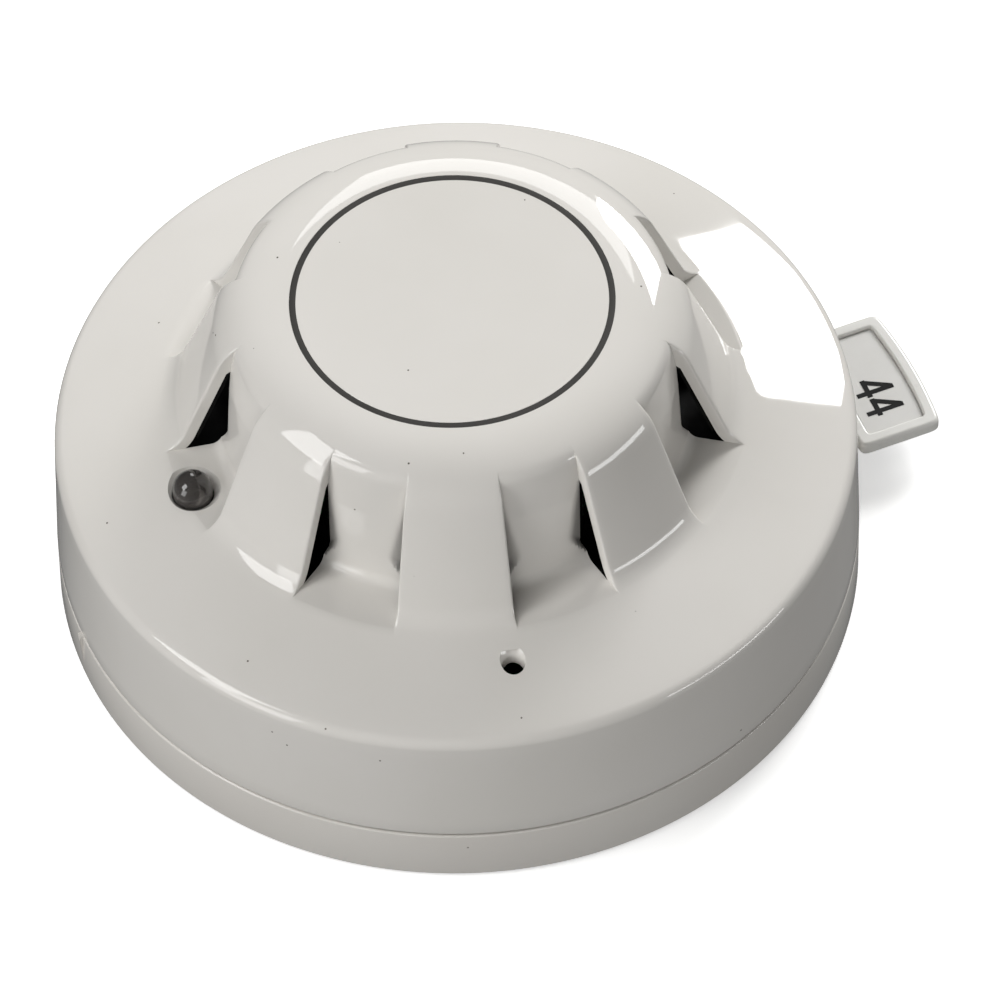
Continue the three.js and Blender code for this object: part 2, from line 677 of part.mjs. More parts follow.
function addressButton(i) {
  const flangeLow = chassisTop + gap;
  const outline = [
    [0, buttonBottom], [buttonRadius, buttonBottom], [buttonRadius, flangeLow],
    [buttonFlange.radius, flangeLow], [buttonFlange.radius, flangeLow + buttonFlange.thickness],
    [0, flangeLow + buttonFlange.thickness],
  ];
  return at(turned(outline, 12), pipX, pipY(i));
}

function returnStrip() {
  const low = chassisTop + gap + buttonFlange.thickness + buttonTravel + gap;
  const halfLength = pipY(2 * middlePip) - cardAxisY + buttonFlange.radius;
  const halfWidth = 2 * buttonFlange.radius;
  return block(
    pipX - halfWidth, pipX + halfWidth, cardAxisY - halfLength, cardAxisY + halfLength,
    low, boardBottom - gap,
  );
}

function circuitBoard() {
  const plate = disc(boardRadius, boardBottom, boardTop, roundSteps);
  const holes = boardPost.angles.map((angle) => (
    atPolar(disc(boardScrew.shank + gap, 0, topZ), boardPostRadius, angle)));
  return plate.subtract(joined(holes));
}

function panScrew(size, seat, down) {
  const sign = down ? 1 : -1;
  const outline = [
    [0, seat - sign * size.length], [size.shank, seat - sign * size.length], [size.shank, seat],
    [size.head, seat], [size.head, seat + sign * size.headHeight], [0, seat + sign * size.headHeight],
  ];
  return turned(outline, smallSteps);
}

function sensingShroud() {
  const low = boardTop + gap;
  const inner = shroudRadius - shroudWall;
  const cup = turned([
    [0, shroudRoof], [0, shroudRoof - shroudWall], [inner, shroudRoof - shroudWall], [inner, low],
    [shroudRadius, low], [shroudRadius, shroudRoof],
  ]);
  const brim = turned(ringOutline(inner + bite, brimRadius, shroudBrimZ - shroudWall, shroudBrimZ));
  const windowFoot = portFloor + shroudWindow.lift;
  const window = ringOutline(inner - beyond, shroudRadius + beyond, windowFoot, shroudRoof - 2 * shroudWall);
  const windows = Array.from({ length: portCount }, (_, i) => {
    const middle = (i + 0.5) * portPitch;
    return sector(window, middle - shroudWindow.halfAngle, middle + shroudWindow.halfAngle);
  });
  const ledHole = at(disc(ledRadius + ledClearance, low, topZ), -ledCentre, 0);
  return cup.add(brim).subtract(joined([...windows, ledHole]));
}

function thermistor() {
  const low = (portFloor + shroudRoof) / 2 - bead.length;
  const outline = [
    [0, boardTop + gap], [bead.stem, boardTop + gap], [bead.stem, low],
    [0.8 * bead.radius, low + 0.2 * bead.length], [bead.radius, low + 0.5 * bead.length],
    [0.8 * bead.radius, low + 0.8 * bead.length], [0, low + bead.length],
  ];
  return turned(outline, smallSteps);
}

function statusLed() {
  const centreZ = portFloor - ledSink;
  const low = shroudBrimZ - shroudWall;
  const outline = [
    [0, low], [ledRadius + ledFlange, low], [ledRadius + ledFlange, low + ledFlangeHeight],
    [ledRadius, low + ledFlangeHeight],
    ...arc(0, centreZ, ledRadius, 0, 90, 4),
  ];
  return at(turned(outline, smallSteps), -ledCentre, 0);
}

function ledSpacer() {
  const high = shroudBrimZ - shroudWall - gap;
  return at(disc(ledRadius + spacerWall, boardTop + gap, high), -ledCentre, 0);
}

function lockingScrew() {
  const low = chassisBottom + gap;
  const high = low + lockScrewLength;
  const body = disc(lockScrewRadius, low, high);
  const socket = disc(hexSocket.radius, high - hexSocket.depth, high + beyond, 6);
  return atPolar(body.subtract(socket), lockRadius, lockAngle);
}

function chip({ x, y, length, width, height }) {
  return block(
    x - length / 2, x + length / 2, y - width / 2, y + width / 2,
    boardTop + gap, boardTop + gap + height,
  );
}

function canCapacitor({ radius, height, x, y }) {
  const neck = canNeck;
  const low = boardTop + gap;
  const outline = [
    [0, low], [radius, low], [radius, low + neck.from],
    [radius - neck.depth, low + (neck.from + neck.to) / 2], [radius, low + neck.to],
    [radius, low + height - neck.bevel], [radius - neck.bevel, low + height], [0, low + height],
  ];
  return at(turned(outline, smallSteps), x, y);
}

// ---- Assembly -----------------------------------------------------------------------------
place('base_moulding', baseMoulding(), material.base);
terminalAngles.forEach((angle, i) => {
  place(`contact_spring_${i + 1}`, contactSpring(angle), material.bronze);
  place(`terminal_clamp_${i + 1}`, terminalClamp(angle), material.zinc);
  place(`terminal_screw_${i + 1}`, terminalScrewBody(angle), material.steel);
});

place('address_card', addressCard(), material.card);
place('number_label', numberLabel(), material.label);

place('outer_cover', outerCover(), material.cover);
place('ring_inlay', ringInlay(), material.ring);
place('head_chassis', headChassis(), material.chassis);
terminalAngles.forEach((angle, i) => {
  place(`contact_plate_${i + 1}`, contactPlate(angle), material.steel);
});
addressPips.forEach((_, i) => {
  place(`address_button_${i + 1}`, addressButton(i), material.button);
});
place('button_pad', returnStrip(), material.rubber);
place('circuit_board', circuitBoard(), material.board);
place('sensing_shroud', sensingShroud(), material.shroud);
place('thermistor', thermistor(), material.bead);
place('status_led', statusLed(), material.led);
place('led_spacer', ledSpacer(), material.chip);
place('locking_screw', lockingScrew(), material.steel);
coverPost.angles.forEach((angle, i) => {
  const screw = panScrew(coverScrew, chassisBottom - gap, false);
  place(`cover_screw_${i + 1}`, atPolar(screw, coverPostRadius, angle), material.zinc);
});
boardPost.angles.forEach((angle, i) => {
  const screw = panScrew(boardScrew, boardTop + gap, true);
  place(`board_screw_${i + 1}`, atPolar(screw, boardPostRadius, angle), material.zinc);
});
place('processor_chip', chip(processorChip), material.chip);
place('driver_chip', chip(driverChip), material.chip);
place('capacitor_1', canCapacitor(capacitors[0]), material.capacitor);
place('capacitor_2', canCapacitor(capacitors[1]), material.capacitor);

export default detector;
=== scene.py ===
# %% [markdown]
# # A ceiling heat detector in Blender
# The detector is a stack of glossy white mouldings: a shallow base, a head with a domed cover, and an
# address card that sticks out of the base. Its working model is already built, so it is loaded first as a
# fixed frame. Each visible moulding is then made again with a finer surface, and every piece gets a
# material of its own.

# %% Load the frame
import math

import bmesh
import bpy
import numpy as np
from mathutils import Matrix, Vector


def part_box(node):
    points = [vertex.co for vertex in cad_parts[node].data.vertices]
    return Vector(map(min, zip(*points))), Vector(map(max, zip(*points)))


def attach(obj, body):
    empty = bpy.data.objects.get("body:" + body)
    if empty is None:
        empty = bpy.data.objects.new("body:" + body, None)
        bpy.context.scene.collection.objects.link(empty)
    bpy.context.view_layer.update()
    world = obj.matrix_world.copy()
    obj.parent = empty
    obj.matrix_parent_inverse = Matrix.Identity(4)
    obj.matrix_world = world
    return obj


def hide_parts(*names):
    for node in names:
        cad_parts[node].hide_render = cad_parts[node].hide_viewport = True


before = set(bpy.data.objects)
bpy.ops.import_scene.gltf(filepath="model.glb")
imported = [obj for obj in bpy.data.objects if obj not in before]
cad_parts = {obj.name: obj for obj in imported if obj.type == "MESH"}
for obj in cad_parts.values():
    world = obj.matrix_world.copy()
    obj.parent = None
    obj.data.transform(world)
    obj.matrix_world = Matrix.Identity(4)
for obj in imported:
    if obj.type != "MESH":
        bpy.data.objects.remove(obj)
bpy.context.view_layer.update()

# %% [markdown]
# ## Sizes
# Lengths are written in millimetres, as on a moulding drawing, and turned to metres when a mesh is made.
# Anything that the frame knows, such as the overall radius, the split line and the card's place, is read
# from it.

# %% Read the main sizes from the frame
MM = 0.001


def limits_mm(node):
    low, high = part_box(node)
    return [value / MM for value in low], [value / MM for value in high]


cover_low, cover_high = limits_mm("outer_cover")
base_low, base_high = limits_mm("base_moulding")
card_low, card_high = limits_mm("address_card")
BODY_RADIUS = cover_high[0]
TOP = cover_high[2]
SKIRT_FOOT = cover_low[2]
BASE_RIM = base_high[2]
print(f"radius {BODY_RADIUS:.1f} mm, height {TOP:.1f} mm, split line at {(SKIRT_FOOT + BASE_RIM) / 2:.2f} mm")

# %% [markdown]
# ## Curves in section
# Nearly every shape here is turned, so it starts as a section: a list of (radius, height) points. A
# moulding's section is straight runs joined by arcs. These helpers make an arc, space points evenly along a
# run, offset a run by a wall thickness and find where two runs cross.

# %% Section helpers
def polar(radius, degrees):
    angle = math.radians(degrees)
    return radius * math.cos(angle), radius * math.sin(angle)


def arc(centre, radius, start, stop, steps=24):
    turns = np.radians(np.linspace(start, stop, steps + 1))
    return np.column_stack((centre[0] + radius * np.cos(turns), centre[1] + radius * np.sin(turns)))


def bezier(points, steps=40):
    t = np.linspace(0, 1, steps + 1)[:, None]
    line = [np.array(point, float) for point in points]
    while len(line) > 1:
        line = [a * (1 - t) + b * t for a, b in zip(line, line[1:])]
    return line[0]


def run(*parts):
    joined = np.vstack([np.atleast_2d(np.array(part, float)) for part in parts])
    step = np.hypot(*np.diff(joined, axis=0).T)
    return joined[np.concatenate(([True], step > 1e-6))]


def travel(line):
    return np.concatenate(([0], np.cumsum(np.hypot(*np.diff(line, axis=0).T))))


def spaced(line, rows):
    along = travel(line)
    at = np.linspace(0, along[-1], rows + 1)
    return np.column_stack([np.interp(at, along, line[:, i]) for i in (0, 1)])


def offset(line, distance):
    """The run moved to its right, seen along its direction."""
    tangent = np.gradient(line, axis=0)
    tangent /= np.linalg.norm(tangent, axis=1)[:, None]
    return line + distance * np.column_stack((tangent[:, 1], -tangent[:, 0]))


def crossings(a, b):
    """Where run a crosses run b, as (index along a, index along b), indexes with fractions."""
    found = []
    for i in range(len(a) - 1):
        p, r = a[i], a[i + 1] - a[i]
        q, s = b[:-1], np.diff(b, axis=0)
        cross = r[0] * s[:, 1] - r[1] * s[:, 0]
        cross[np.abs(cross) < 1e-12] = 1e-12
        gap = q - p
        t = (gap[:, 0] * s[:, 1] - gap[:, 1] * s[:, 0]) / cross
        u = (gap[:, 0] * r[1] - gap[:, 1] * r[0]) / cross
        for j in np.nonzero((t >= 0) & (t < 1) & (u >= 0) & (u < 1))[0]:
            found.append((i + t[j], j + u[j]))
    return found


def between(line, start, stop):
    """The stretch of a run between two indexes with fractions."""
    inside = line[math.floor(start) + 1:math.ceil(stop)]
    rows = np.arange(len(line))
    ends = [np.array([np.interp(at, rows, line[:, i]) for i in (0, 1)]) for at in (start, stop)]
    return run(ends[0], inside, ends[1]) if len(inside) else run(ends[0], ends[1])


# %% [markdown]
# ## From section to mesh
# Blender has a Spin tool and a Screw modifier for turned parts. Writing the rings directly gives the same
# mesh, and lets a ring change shape where a port interrupts it, so this way is used for every turned piece.

# %% Mesh helpers
def make_object(name, vertices, faces, smooth_angle=35):
    mesh = bpy.data.meshes.new(name)
    mesh.from_pydata([Vector(vertex) * MM for vertex in vertices], [], faces)
    work = bmesh.new()
    work.from_mesh(mesh)
    bmesh.ops.recalc_face_normals(work, faces=work.faces)
    work.to_mesh(mesh)
    work.free()
    piece = bpy.data.objects.new(name, mesh)
    bpy.context.scene.collection.objects.link(piece)
    shade(piece, smooth_angle)
    return piece


def shade(piece, smooth_angle=35):
    piece.data.shade_smooth()
    piece.data.set_sharp_from_angle(angle=math.radians(smooth_angle))


def turned(name, section, steps=192, centre=(0, 0), smooth_angle=35):
    """A closed ring or disc about +Z. A section that starts and ends on the axis is closed by it."""
    vertices, rings = [], []
    for radius, height in section:
        if radius < 1e-6:
            vertices.append((centre[0], centre[1], height))
            rings.append([len(vertices) - 1] * steps)
            continue
        rings.append(list(range(len(vertices), len(vertices) + steps)))
        for i in range(steps):
            x, y = polar(radius, 360 * i / steps)
            vertices.append((centre[0] + x, centre[1] + y, height))
    on_axis = section[0][0] < 1e-6
    pairs = list(zip(rings, rings[1:])) + ([] if on_axis else [(rings[-1], rings[0])])
    faces = []
    for low, high in pairs:
        for i in range(steps):
            j = (i + 1) % steps
            face = list(dict.fromkeys((low[i], low[j], high[j], high[i])))
            if len(face) > 2:
                faces.append(face)
    return make_object(name, vertices, faces, smooth_angle)


def prism(name, outline, low, high):
    """A flat outline in X and Y, raised from low to high."""
    count = len(outline)
    vertices = [(x, y, z) for z in (low, high) for x, y in outline]
    faces = [list(range(count)), list(range(count, 2 * count))]
    faces += [(i, (i + 1) % count, count + (i + 1) % count, count + i) for i in range(count)]
    return make_object(name, vertices, faces)


def sector(name, section, start, stop, steps=16):
    """The part of a turned ring between two angles, closed at both ends."""
    vertices, count = [], len(section)
    for angle in np.linspace(start, stop, steps + 1):
        vertices += [(*polar(radius, angle), height) for radius, height in section]
    faces = [list(range(count)), list(range(steps * count, (steps + 1) * count))]
    for step in range(steps):
        for i in range(count):
            j = (i + 1) % count
            low, high = step * count, (step + 1) * count
            faces.append((low + i, low + j, high + j, high + i))
    return make_object(name, vertices, faces)


def rounded(corners, radius, steps=6):
    """A closed outline with each of its corners rounded."""
    outline = []
    points = [np.array(corner, float) for corner in corners]
    for before, here, after in zip(points[-1:] + points[:-1], points, points[1:] + points[:1]):
        to_before = (before - here) / np.linalg.norm(before - here)
        to_after = (after - here) / np.linalg.norm(after - here)
        half = math.acos(np.clip(to_before @ to_after, -1, 1)) / 2
        reach = radius / math.tan(half)
        start, stop = here + reach * to_before, here + reach * to_after
        corner_curve = [start, here + 0.1 * (start - here), here + 0.1 * (stop - here), stop]
        outline += [tuple(point) for point in bezier(corner_curve, steps)]
    return outline


def disc(name, radius, low, high, centre=(0, 0), steps=48):
    return turned(name, [(0, low), (radius, low), (radius, high), (0, high)], steps, centre)


def block(name, x0, x1, y0, y1, low, high):
    return prism(name, [(x0, y0), (x1, y0), (x1, y1), (x0, y1)], low, high)


def turn(piece, degrees):
    piece.data.transform(Matrix.Rotation(math.radians(degrees), 4, "Z"))
    return piece


def settle(piece):
    """Applies a piece's modifiers, so that its mesh is the finished shape."""
    graph = bpy.context.evaluated_depsgraph_get()
    finished = bpy.data.meshes.new_from_object(piece.evaluated_get(graph))
    piece.modifiers.clear()
    piece.data = finished
    return piece


SLIVER = 2e-7


def combine(piece, tools, operation="DIFFERENCE", smooth_angle=35):
    """Cuts, joins or intersects a piece with closed tools, which are used up."""
    for tool in tools:
        step = piece.modifiers.new(tool.name, "BOOLEAN")
        step.operation = operation
        step.object = tool
        step.solver = "EXACT"
    settle(piece)
    for tool in tools:
        bpy.data.objects.remove(tool)
    work = bmesh.new()
    work.from_mesh(piece.data)
    bmesh.ops.remove_doubles(work, verts=work.verts, dist=SLIVER)
    bmesh.ops.dissolve_degenerate(work, edges=work.edges, dist=SLIVER)
    work.to_mesh(piece.data)
    work.free()
    shade(piece, smooth_angle)
    return piece


def flatten_faces(piece):
    """Weighs a vertex's faces by their areas, so that a flat face beside a rounded edge is lit as flat."""
    weigh = piece.modifiers.new("face_weights", "WEIGHTED_NORMAL")
    weigh.keep_sharp = True
    settle(piece)


def round_edges(piece, width, segments=2, angle=40):
    bevel = piece.modifiers.new("edges", "BEVEL")
    bevel.width = width * MM
    bevel.segments = segments
    bevel.limit_method = "ANGLE"
    bevel.angle_limit = math.radians(angle)
    bevel.harden_normals = False
    settle(piece)
    shade(piece, 30)
    return piece


# %% [markdown]
# ## Materials
# Every finish is a small node tree on the Principled shader. Colours are written as sRGB hex values, as
# read off a colour chart, and one function turns them to the linear values that Blender mixes. One more
# function adds a node with its settings and links. Patterns are placed by object coordinates, which are
# metres here, so a pattern's scale is one over its real size.

# %% Colour and node helpers
def linear(colour):
    channels = [int(colour[i:i + 2], 16) / 255 for i in (1, 3, 5)]
    return [c / 12.92 if c <= 0.04045 else ((c + 0.055) / 1.055) ** 2.4 for c in channels] + [1.0]


def add(material, kind, settings=None, **inputs):
    """Adds a node; an input is a value or another node's output, with _ for a space in its name."""
    node = material.node_tree.nodes.new("ShaderNode" + kind)
    for name, value in (settings or {}).items():
        setattr(node, name, value)
    for name, value in inputs.items():
        socket = node.inputs[name.replace("_", " ")]
        if isinstance(value, bpy.types.NodeSocket):
            material.node_tree.links.new(value, socket)
        else:
            socket.default_value = value
    return node


def per_mm(size):
    return 1 / (size * MM)


def new_material(name, **surface):
    """A Principled material whose uniform values sit on the shader's own sockets."""
    material = bpy.data.materials.new(name)
    material.use_nodes = True
    shader = material.node_tree.nodes["Principled BSDF"]
    for key, value in surface.items():
        shader.inputs[key.replace("_", " ")].default_value = value
    return material, shader


def link(material, output, shader, socket):
    material.node_tree.links.new(output, shader.inputs[socket])


def mottle(material, shader, light, dark, size, detail=3):
    """Two close shades of one colour in soft patches, as pigment and grime leave them."""
    place = add(material, "TexCoord")
    cloud = add(material, "TexNoise", Vector=place.outputs["Object"], Scale=per_mm(size), Detail=detail)
    shades = add(material, "ValToRGB", Fac=cloud.outputs["Fac"])
    shades.color_ramp.elements[0].position = 0.3
    shades.color_ramp.elements[0].color = linear(dark)
    shades.color_ramp.elements[1].position = 0.7
    shades.color_ramp.elements[1].color = linear(light)
    link(material, shades.outputs["Color"], shader, "Base Color")
    return place, shades


def uneven_gloss(material, shader, place, size, low, high):
    patches = add(material, "TexNoise", Vector=place.outputs["Object"], Scale=per_mm(size), Detail=2)
    spread = add(material, "MapRange", Value=patches.outputs["Fac"], From_Min=0.3, From_Max=0.7,
                 To_Min=low, To_Max=high)
    link(material, spread.outputs["Result"], shader, "Roughness")


def fine_relief(material, shader, place, size, depth, strength=1.0):
    grain = add(material, "TexNoise", Vector=place.outputs["Object"], Scale=per_mm(size), Detail=2)
    relief = add(material, "Bump", Height=grain.outputs["Fac"], Distance=depth * MM, Strength=strength)
    link(material, relief.outputs["Normal"], shader, "Normal")


# %% [markdown]
# The cover, the base and the card are injection-moulded ABS from polished tools. Such a surface is glossy,
# with the faint ripple of a moulding, and it picks up a few specks of dust. ABS has an index of refraction
# of 1.54.

# %% Moulded ABS
DUST_SPACING = 1.3
DUST_SIZE = 0.13
DUST_SHARE = 0.978


def moulded_abs(name, light, dark, gloss, ripple, dust=True):
    material, shader = new_material(name, IOR=1.54)
    place, shades = mottle(material, shader, light, dark, size=28)
    uneven_gloss(material, shader, place, 9, *gloss)
    fine_relief(material, shader, place, *ripple)
    if dust:
        cells = add(material, "TexVoronoi", Vector=place.outputs["Object"], Scale=per_mm(DUST_SPACING))
        near = add(material, "Math", {"operation": "LESS_THAN"})
        material.node_tree.links.new(cells.outputs["Distance"], near.inputs[0])
        near.inputs[1].default_value = DUST_SIZE / DUST_SPACING
        pick = add(material, "SeparateColor", Color=cells.outputs["Color"])
        chosen = add(material, "Math", {"operation": "GREATER_THAN"})
        material.node_tree.links.new(pick.outputs["Red"], chosen.inputs[0])
        chosen.inputs[1].default_value = DUST_SHARE
        speck = add(material, "Math", {"operation": "MULTIPLY"})
        material.node_tree.links.new(near.outputs["Value"], speck.inputs[0])
        material.node_tree.links.new(chosen.outputs["Value"], speck.inputs[1])
        dusty = add(material, "Mix", {"data_type": "RGBA"}, Factor=speck.outputs["Value"])
        colour_in = [socket for socket in dusty.inputs if socket.type == "RGBA"]
        material.node_tree.links.new(shades.outputs["Color"], colour_in[0])
        colour_in[1].default_value = linear("#6a665e")
        colour_out = [socket for socket in dusty.outputs if socket.type == "RGBA"][0]
        link(material, colour_out, shader, "Base Color")
    return material


cover_abs = moulded_abs("cover_abs_polished", "#dedbd6", "#d9d6d0", (0.03, 0.055), (3.5, 0.002))
base_abs = moulded_abs("base_abs_polished", "#dbd8d2", "#d6d2cc", (0.06, 0.1), (3, 0.003))
card_abs = moulded_abs("card_abs_satin", "#e3e2de", "#dddcd7", (0.26, 0.34), (0.8, 0.006), dust=False)
chassis_abs = moulded_abs("chassis_abs_satin", "#d4d1c8", "#cbc8be", (0.34, 0.42), (0.8, 0.01), dust=False)
print("ABS finishes:", ", ".join(m.name for m in (cover_abs, base_abs, card_abs, chassis_abs)))

# %% [markdown]
# The sensing chamber is black glass-filled nylon, spark-textured so that no light bounces into the
# chamber. Its hood linings use the same black as painted shade: dark sheets that stand for the shade inside
# the hoods. The indicator is a smoked epoxy lens, cast with a gloss skin over a small metal reflector.

# %% Black nylon, painted shade and smoked epoxy
def dull_plastic(name, light, dark, roughness, grain, depth, sheen=0.5):
    material, shader = new_material(name, IOR=1.53, Specular_IOR_Level=sheen)
    place, _ = mottle(material, shader, light, dark, size=6)
    uneven_gloss(material, shader, place, 1.5, roughness - 0.05, roughness + 0.05)
    fine_relief(material, shader, place, grain, depth)
    return material


# The chamber's black is its own colour; on the hood linings the same black is painted shade.
chamber_black_and_painted_shade = dull_plastic("chamber_nylon_and_painted_shade", "#070706", "#030303", 0.8, 0.35, 0.02, sheen=0.2)
black_housing = dull_plastic("spacer_nylon_moulded", "#1b1b1c", "#141415", 0.5, 0.5, 0.01)
chip_epoxy = dull_plastic("chip_epoxy_moulded", "#222224", "#191a1b", 0.45, 0.15, 0.006)
pad_rubber = dull_plastic("pad_rubber_moulded", "#3f3f3f", "#343434", 0.8, 0.3, 0.02)
button_acetal = dull_plastic("button_acetal_moulded", "#ebe9e3", "#e2e0d9", 0.35, 0.4, 0.004)
sleeve_pvc = dull_plastic("sleeve_pvc_shrunk", "#2a2f3a", "#20242e", 0.28, 1.2, 0.01)
bead_epoxy = dull_plastic("bead_epoxy_dipped", "#5f3d20", "#4a2e16", 0.3, 1.0, 0.02)

lens_epoxy, lens_shader = new_material("lens_epoxy_smoked", IOR=1.53, Transmission_Weight=0.55,
                                       Coat_Weight=0.4, Coat_Roughness=0.03)
lens_place, _ = mottle(lens_epoxy, lens_shader, "#6a6663", "#5c5855", size=2)
uneven_gloss(lens_epoxy, lens_shader, lens_place, 1.2, 0.04, 0.08)

# %% [markdown]
# The ring on the dome is a thin dark insert. The label is a printed paper slip with the card's number in
# black.

# %% Ring, label and print
ring_ink = dull_plastic("ring_acrylic_tinted", "#33312e", "#292724", 0.5, 0.6, 0.004, sheen=0.25)
label_paper = dull_plastic("label_paper_coated", "#dcdbd8", "#d5d4d0", 0.5, 0.12, 0.004, sheen=0.3)
number_ink = dull_plastic("number_ink_printed", "#0f0f0e", "#090908", 0.6, 0.2, 0.002, sheen=0.15)

# %% [markdown]
# Metals keep the default index of refraction; their look comes from the metallic value, the roughness and
# the marks of the tool. Zinc-plated screws show a fine spangle, pressed steel and spring bronze the lines
# of rolling.

# %% Metals and the circuit board
def metal(name, light, dark, roughness, grain, stretch=1.0):
    material, shader = new_material(name, Metallic=1.0)
    place, shades = mottle(material, shader, light, dark, size=2.5)
    drawn = add(material, "Mapping", Vector=place.outputs["Object"], Scale=(1, stretch, 1))
    lines = add(material, "TexNoise", Vector=drawn.outputs["Vector"], Scale=per_mm(grain), Detail=4)
    worn = add(material, "MapRange", Value=lines.outputs["Fac"], From_Min=0.3, From_Max=0.7,
               To_Min=roughness - 0.08, To_Max=roughness + 0.1)
    link(material, worn.outputs["Result"], shader, "Roughness")
    relief = add(material, "Bump", Height=lines.outputs["Fac"], Distance=0.004 * MM, Strength=0.6)
    link(material, relief.outputs["Normal"], shader, "Normal")
    return material


zinc_plate = metal("screw_zinc_plated", "#b4b6b8", "#9b9c9c", 0.36, 0.5)
rolled_steel = metal("strip_steel_rolled", "#bdbdbb", "#a9a8a5", 0.32, 0.3, stretch=8)
spring_bronze = metal("spring_bronze_rolled", "#b98c52", "#9f7440", 0.34, 0.3, stretch=8)

board_laminate, board_shader = new_material("board_laminate_masked", IOR=1.5)
board_place, _ = mottle(board_laminate, board_shader, "#24613d", "#1b4f31", size=5)
tracks = add(board_laminate, "TexBrick", {"offset": 0.5}, Vector=board_place.outputs["Object"],
             Scale=per_mm(6), Color1=linear("#24613d"), Color2=linear("#206038"),
             Mortar=linear("#3b8455"), Mortar_Size=0.03)
link(board_laminate, tracks.outputs["Color"], board_shader, "Base Color")
uneven_gloss(board_laminate, board_shader, board_place, 2, 0.28, 0.42)
print(len(bpy.data.materials), "materials so far")


def finish(piece, material, body=None, replaces=()):
    """Gives a new piece its material, the body that it rides on and the CAD nodes that it stands for."""
    piece.data.materials.clear()
    piece.data.materials.append(material)
    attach(piece, body)
    if replaces:
        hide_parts(*replaces)
    return piece


# %% [markdown]
# ## The cover's outside section
# The cover is one moulding. From the split line up, its section is a slightly drafted skirt, a rounded rim,
# a flange that rises at about 20 degrees, a fillet, the steep side of the hoods, a soft shoulder and the
# flat dome. A dark ring is printed in a narrow groove on the dome.

# %% Lay out the outside section
SKIRT_DRAFT = 0.4
SKIRT_HEIGHT = 16.36
RIM_RADIUS = 1.7
FLANGE_SLOPE = 20.5
HOOD_FOOT = 34.74
CROWN = 27.33
HOOD_WALL = 1.5
FOOT_FILLET = 4.5
CROWN_FLAT = 20.1
SHOULDER_LENGTH = 5.5
SHOULDER_FLAT = 4.0
SHOULDER_STEEP = 3.5
RING_RADIUS = 19.5
RING_WIDTH = 0.8
RING_DEPTH = 0.16

split_line = (SKIRT_FOOT + BASE_RIM) / 2
skirt_top = split_line + SKIRT_HEIGHT
skirt_radius = BODY_RADIUS - SKIRT_DRAFT
flange_rise = math.tan(math.radians(FLANGE_SLOPE))
rim = arc((skirt_radius - RIM_RADIUS, skirt_top), RIM_RADIUS, 90 - FLANGE_SLOPE, 0, 12)


def flange_height(radius):
    return rim[0][1] + (rim[0][0] - radius) * flange_rise


foot_height = flange_height(HOOD_FOOT)
hood_slope = math.degrees(math.atan2(TOP - foot_height, HOOD_FOOT - CROWN))
tangent = FOOT_FILLET * math.tan(math.radians((hood_slope - FLANGE_SLOPE) / 2))
fillet_end = np.array([HOOD_FOOT, foot_height]) + polar(tangent, -FLANGE_SLOPE)
fillet_centre = fillet_end + polar(FOOT_FILLET, 90 - FLANGE_SLOPE)
foot_fillet = arc(fillet_centre, FOOT_FILLET, 270 - hood_slope, 270 - FLANGE_SLOPE, 16)
down_hood = np.array(polar(1, -hood_slope))
shoulder_foot = np.array((CROWN, TOP)) + SHOULDER_LENGTH * down_hood
shoulder = bezier([(CROWN_FLAT, TOP), (CROWN_FLAT + SHOULDER_FLAT, TOP),
                   shoulder_foot - SHOULDER_STEEP * down_hood, shoulder_foot], 60)
outside = run(shoulder, foot_fillet, rim)
print(f"hoods lean at {hood_slope:.1f} degrees, foot of the hoods {foot_height:.2f} mm up")

# %% [markdown]
# ## The air ports
# Eight ports are sunk into the dome, each between two hoods. A port has a steep inner wall with a faint
# crease, a small fillet and a flat floor that runs out to the flange. Beside each port the hood is a thin
# shell, open at its side, and the inner wall turns in a little towards that opening. The wall meets the
# dome in a rounded lip.

# %% Lay out the port's section and its openings
PORT_COUNT = 8
PORT_HALF = 10.6
PORT_OUTER = 36.3
WALL_FOOT = 29.3
CREASE = (28.2, TOP - 8.5)
WALL_TOP = (26.7, TOP)
PORT_CORNER = 1.3
LIP = 1.0
OPENING_DROP = 6.2
SKIN = 1.3
CHEEK_IN = 27.85
CHEEK_TURN = 0.27
CHEEK_SILL = (1.3, 0.75)

edge_index = crossings(outside, np.array([(PORT_OUTER, 0), (PORT_OUTER, TOP)]))[0][0]
floor_point = between(outside, edge_index, edge_index + 1e-3)[0]
PORT_FLOOR = floor_point[1]
wall_line = np.array([WALL_TOP, CREASE])
lip_at, _ = crossings(outside, wall_line)[0]
corner_point = between(outside, lip_at, lip_at + 1e-3)[0]
along_outside = travel(outside)
index_of = np.arange(len(outside))
lip_start = np.interp(np.interp(lip_at, index_of, along_outside) - LIP, along_outside, index_of)
lip_point = between(outside, lip_start, lip_start + 1e-3)[0]
down_wall = (wall_line[1] - wall_line[0]) / np.linalg.norm(wall_line[1] - wall_line[0])
corner = arc((WALL_FOOT + PORT_CORNER, PORT_FLOOR + PORT_CORNER), PORT_CORNER, 180, 270, 12)
port = run(bezier([lip_point, corner_point, corner_point + LIP * down_wall], 12), CREASE, corner, floor_point)
port = spaced(port, 900)


def cheek(points, degrees):
    """The port's section at an angle from its middle, turned in beside the opening."""
    aside = PORT_HALF - abs(degrees)
    turned_in = CHEEK_IN + CHEEK_TURN * aside
    sill = PORT_FLOOR + CHEEK_SILL[0] + CHEEK_SILL[1] * aside
    blend = np.clip((points[:, 1] - sill) / 0.6 + 0.5, 0, 1)
    blend = blend * blend * (3 - 2 * blend)
    soft = 0.12
    deep = points[:, 0] - turned_in
    inner = points[:, 0] - 0.5 * (deep + np.sqrt(deep * deep + soft * soft))
    return np.column_stack((points[:, 0] * (1 - blend) + inner * blend, points[:, 1]))


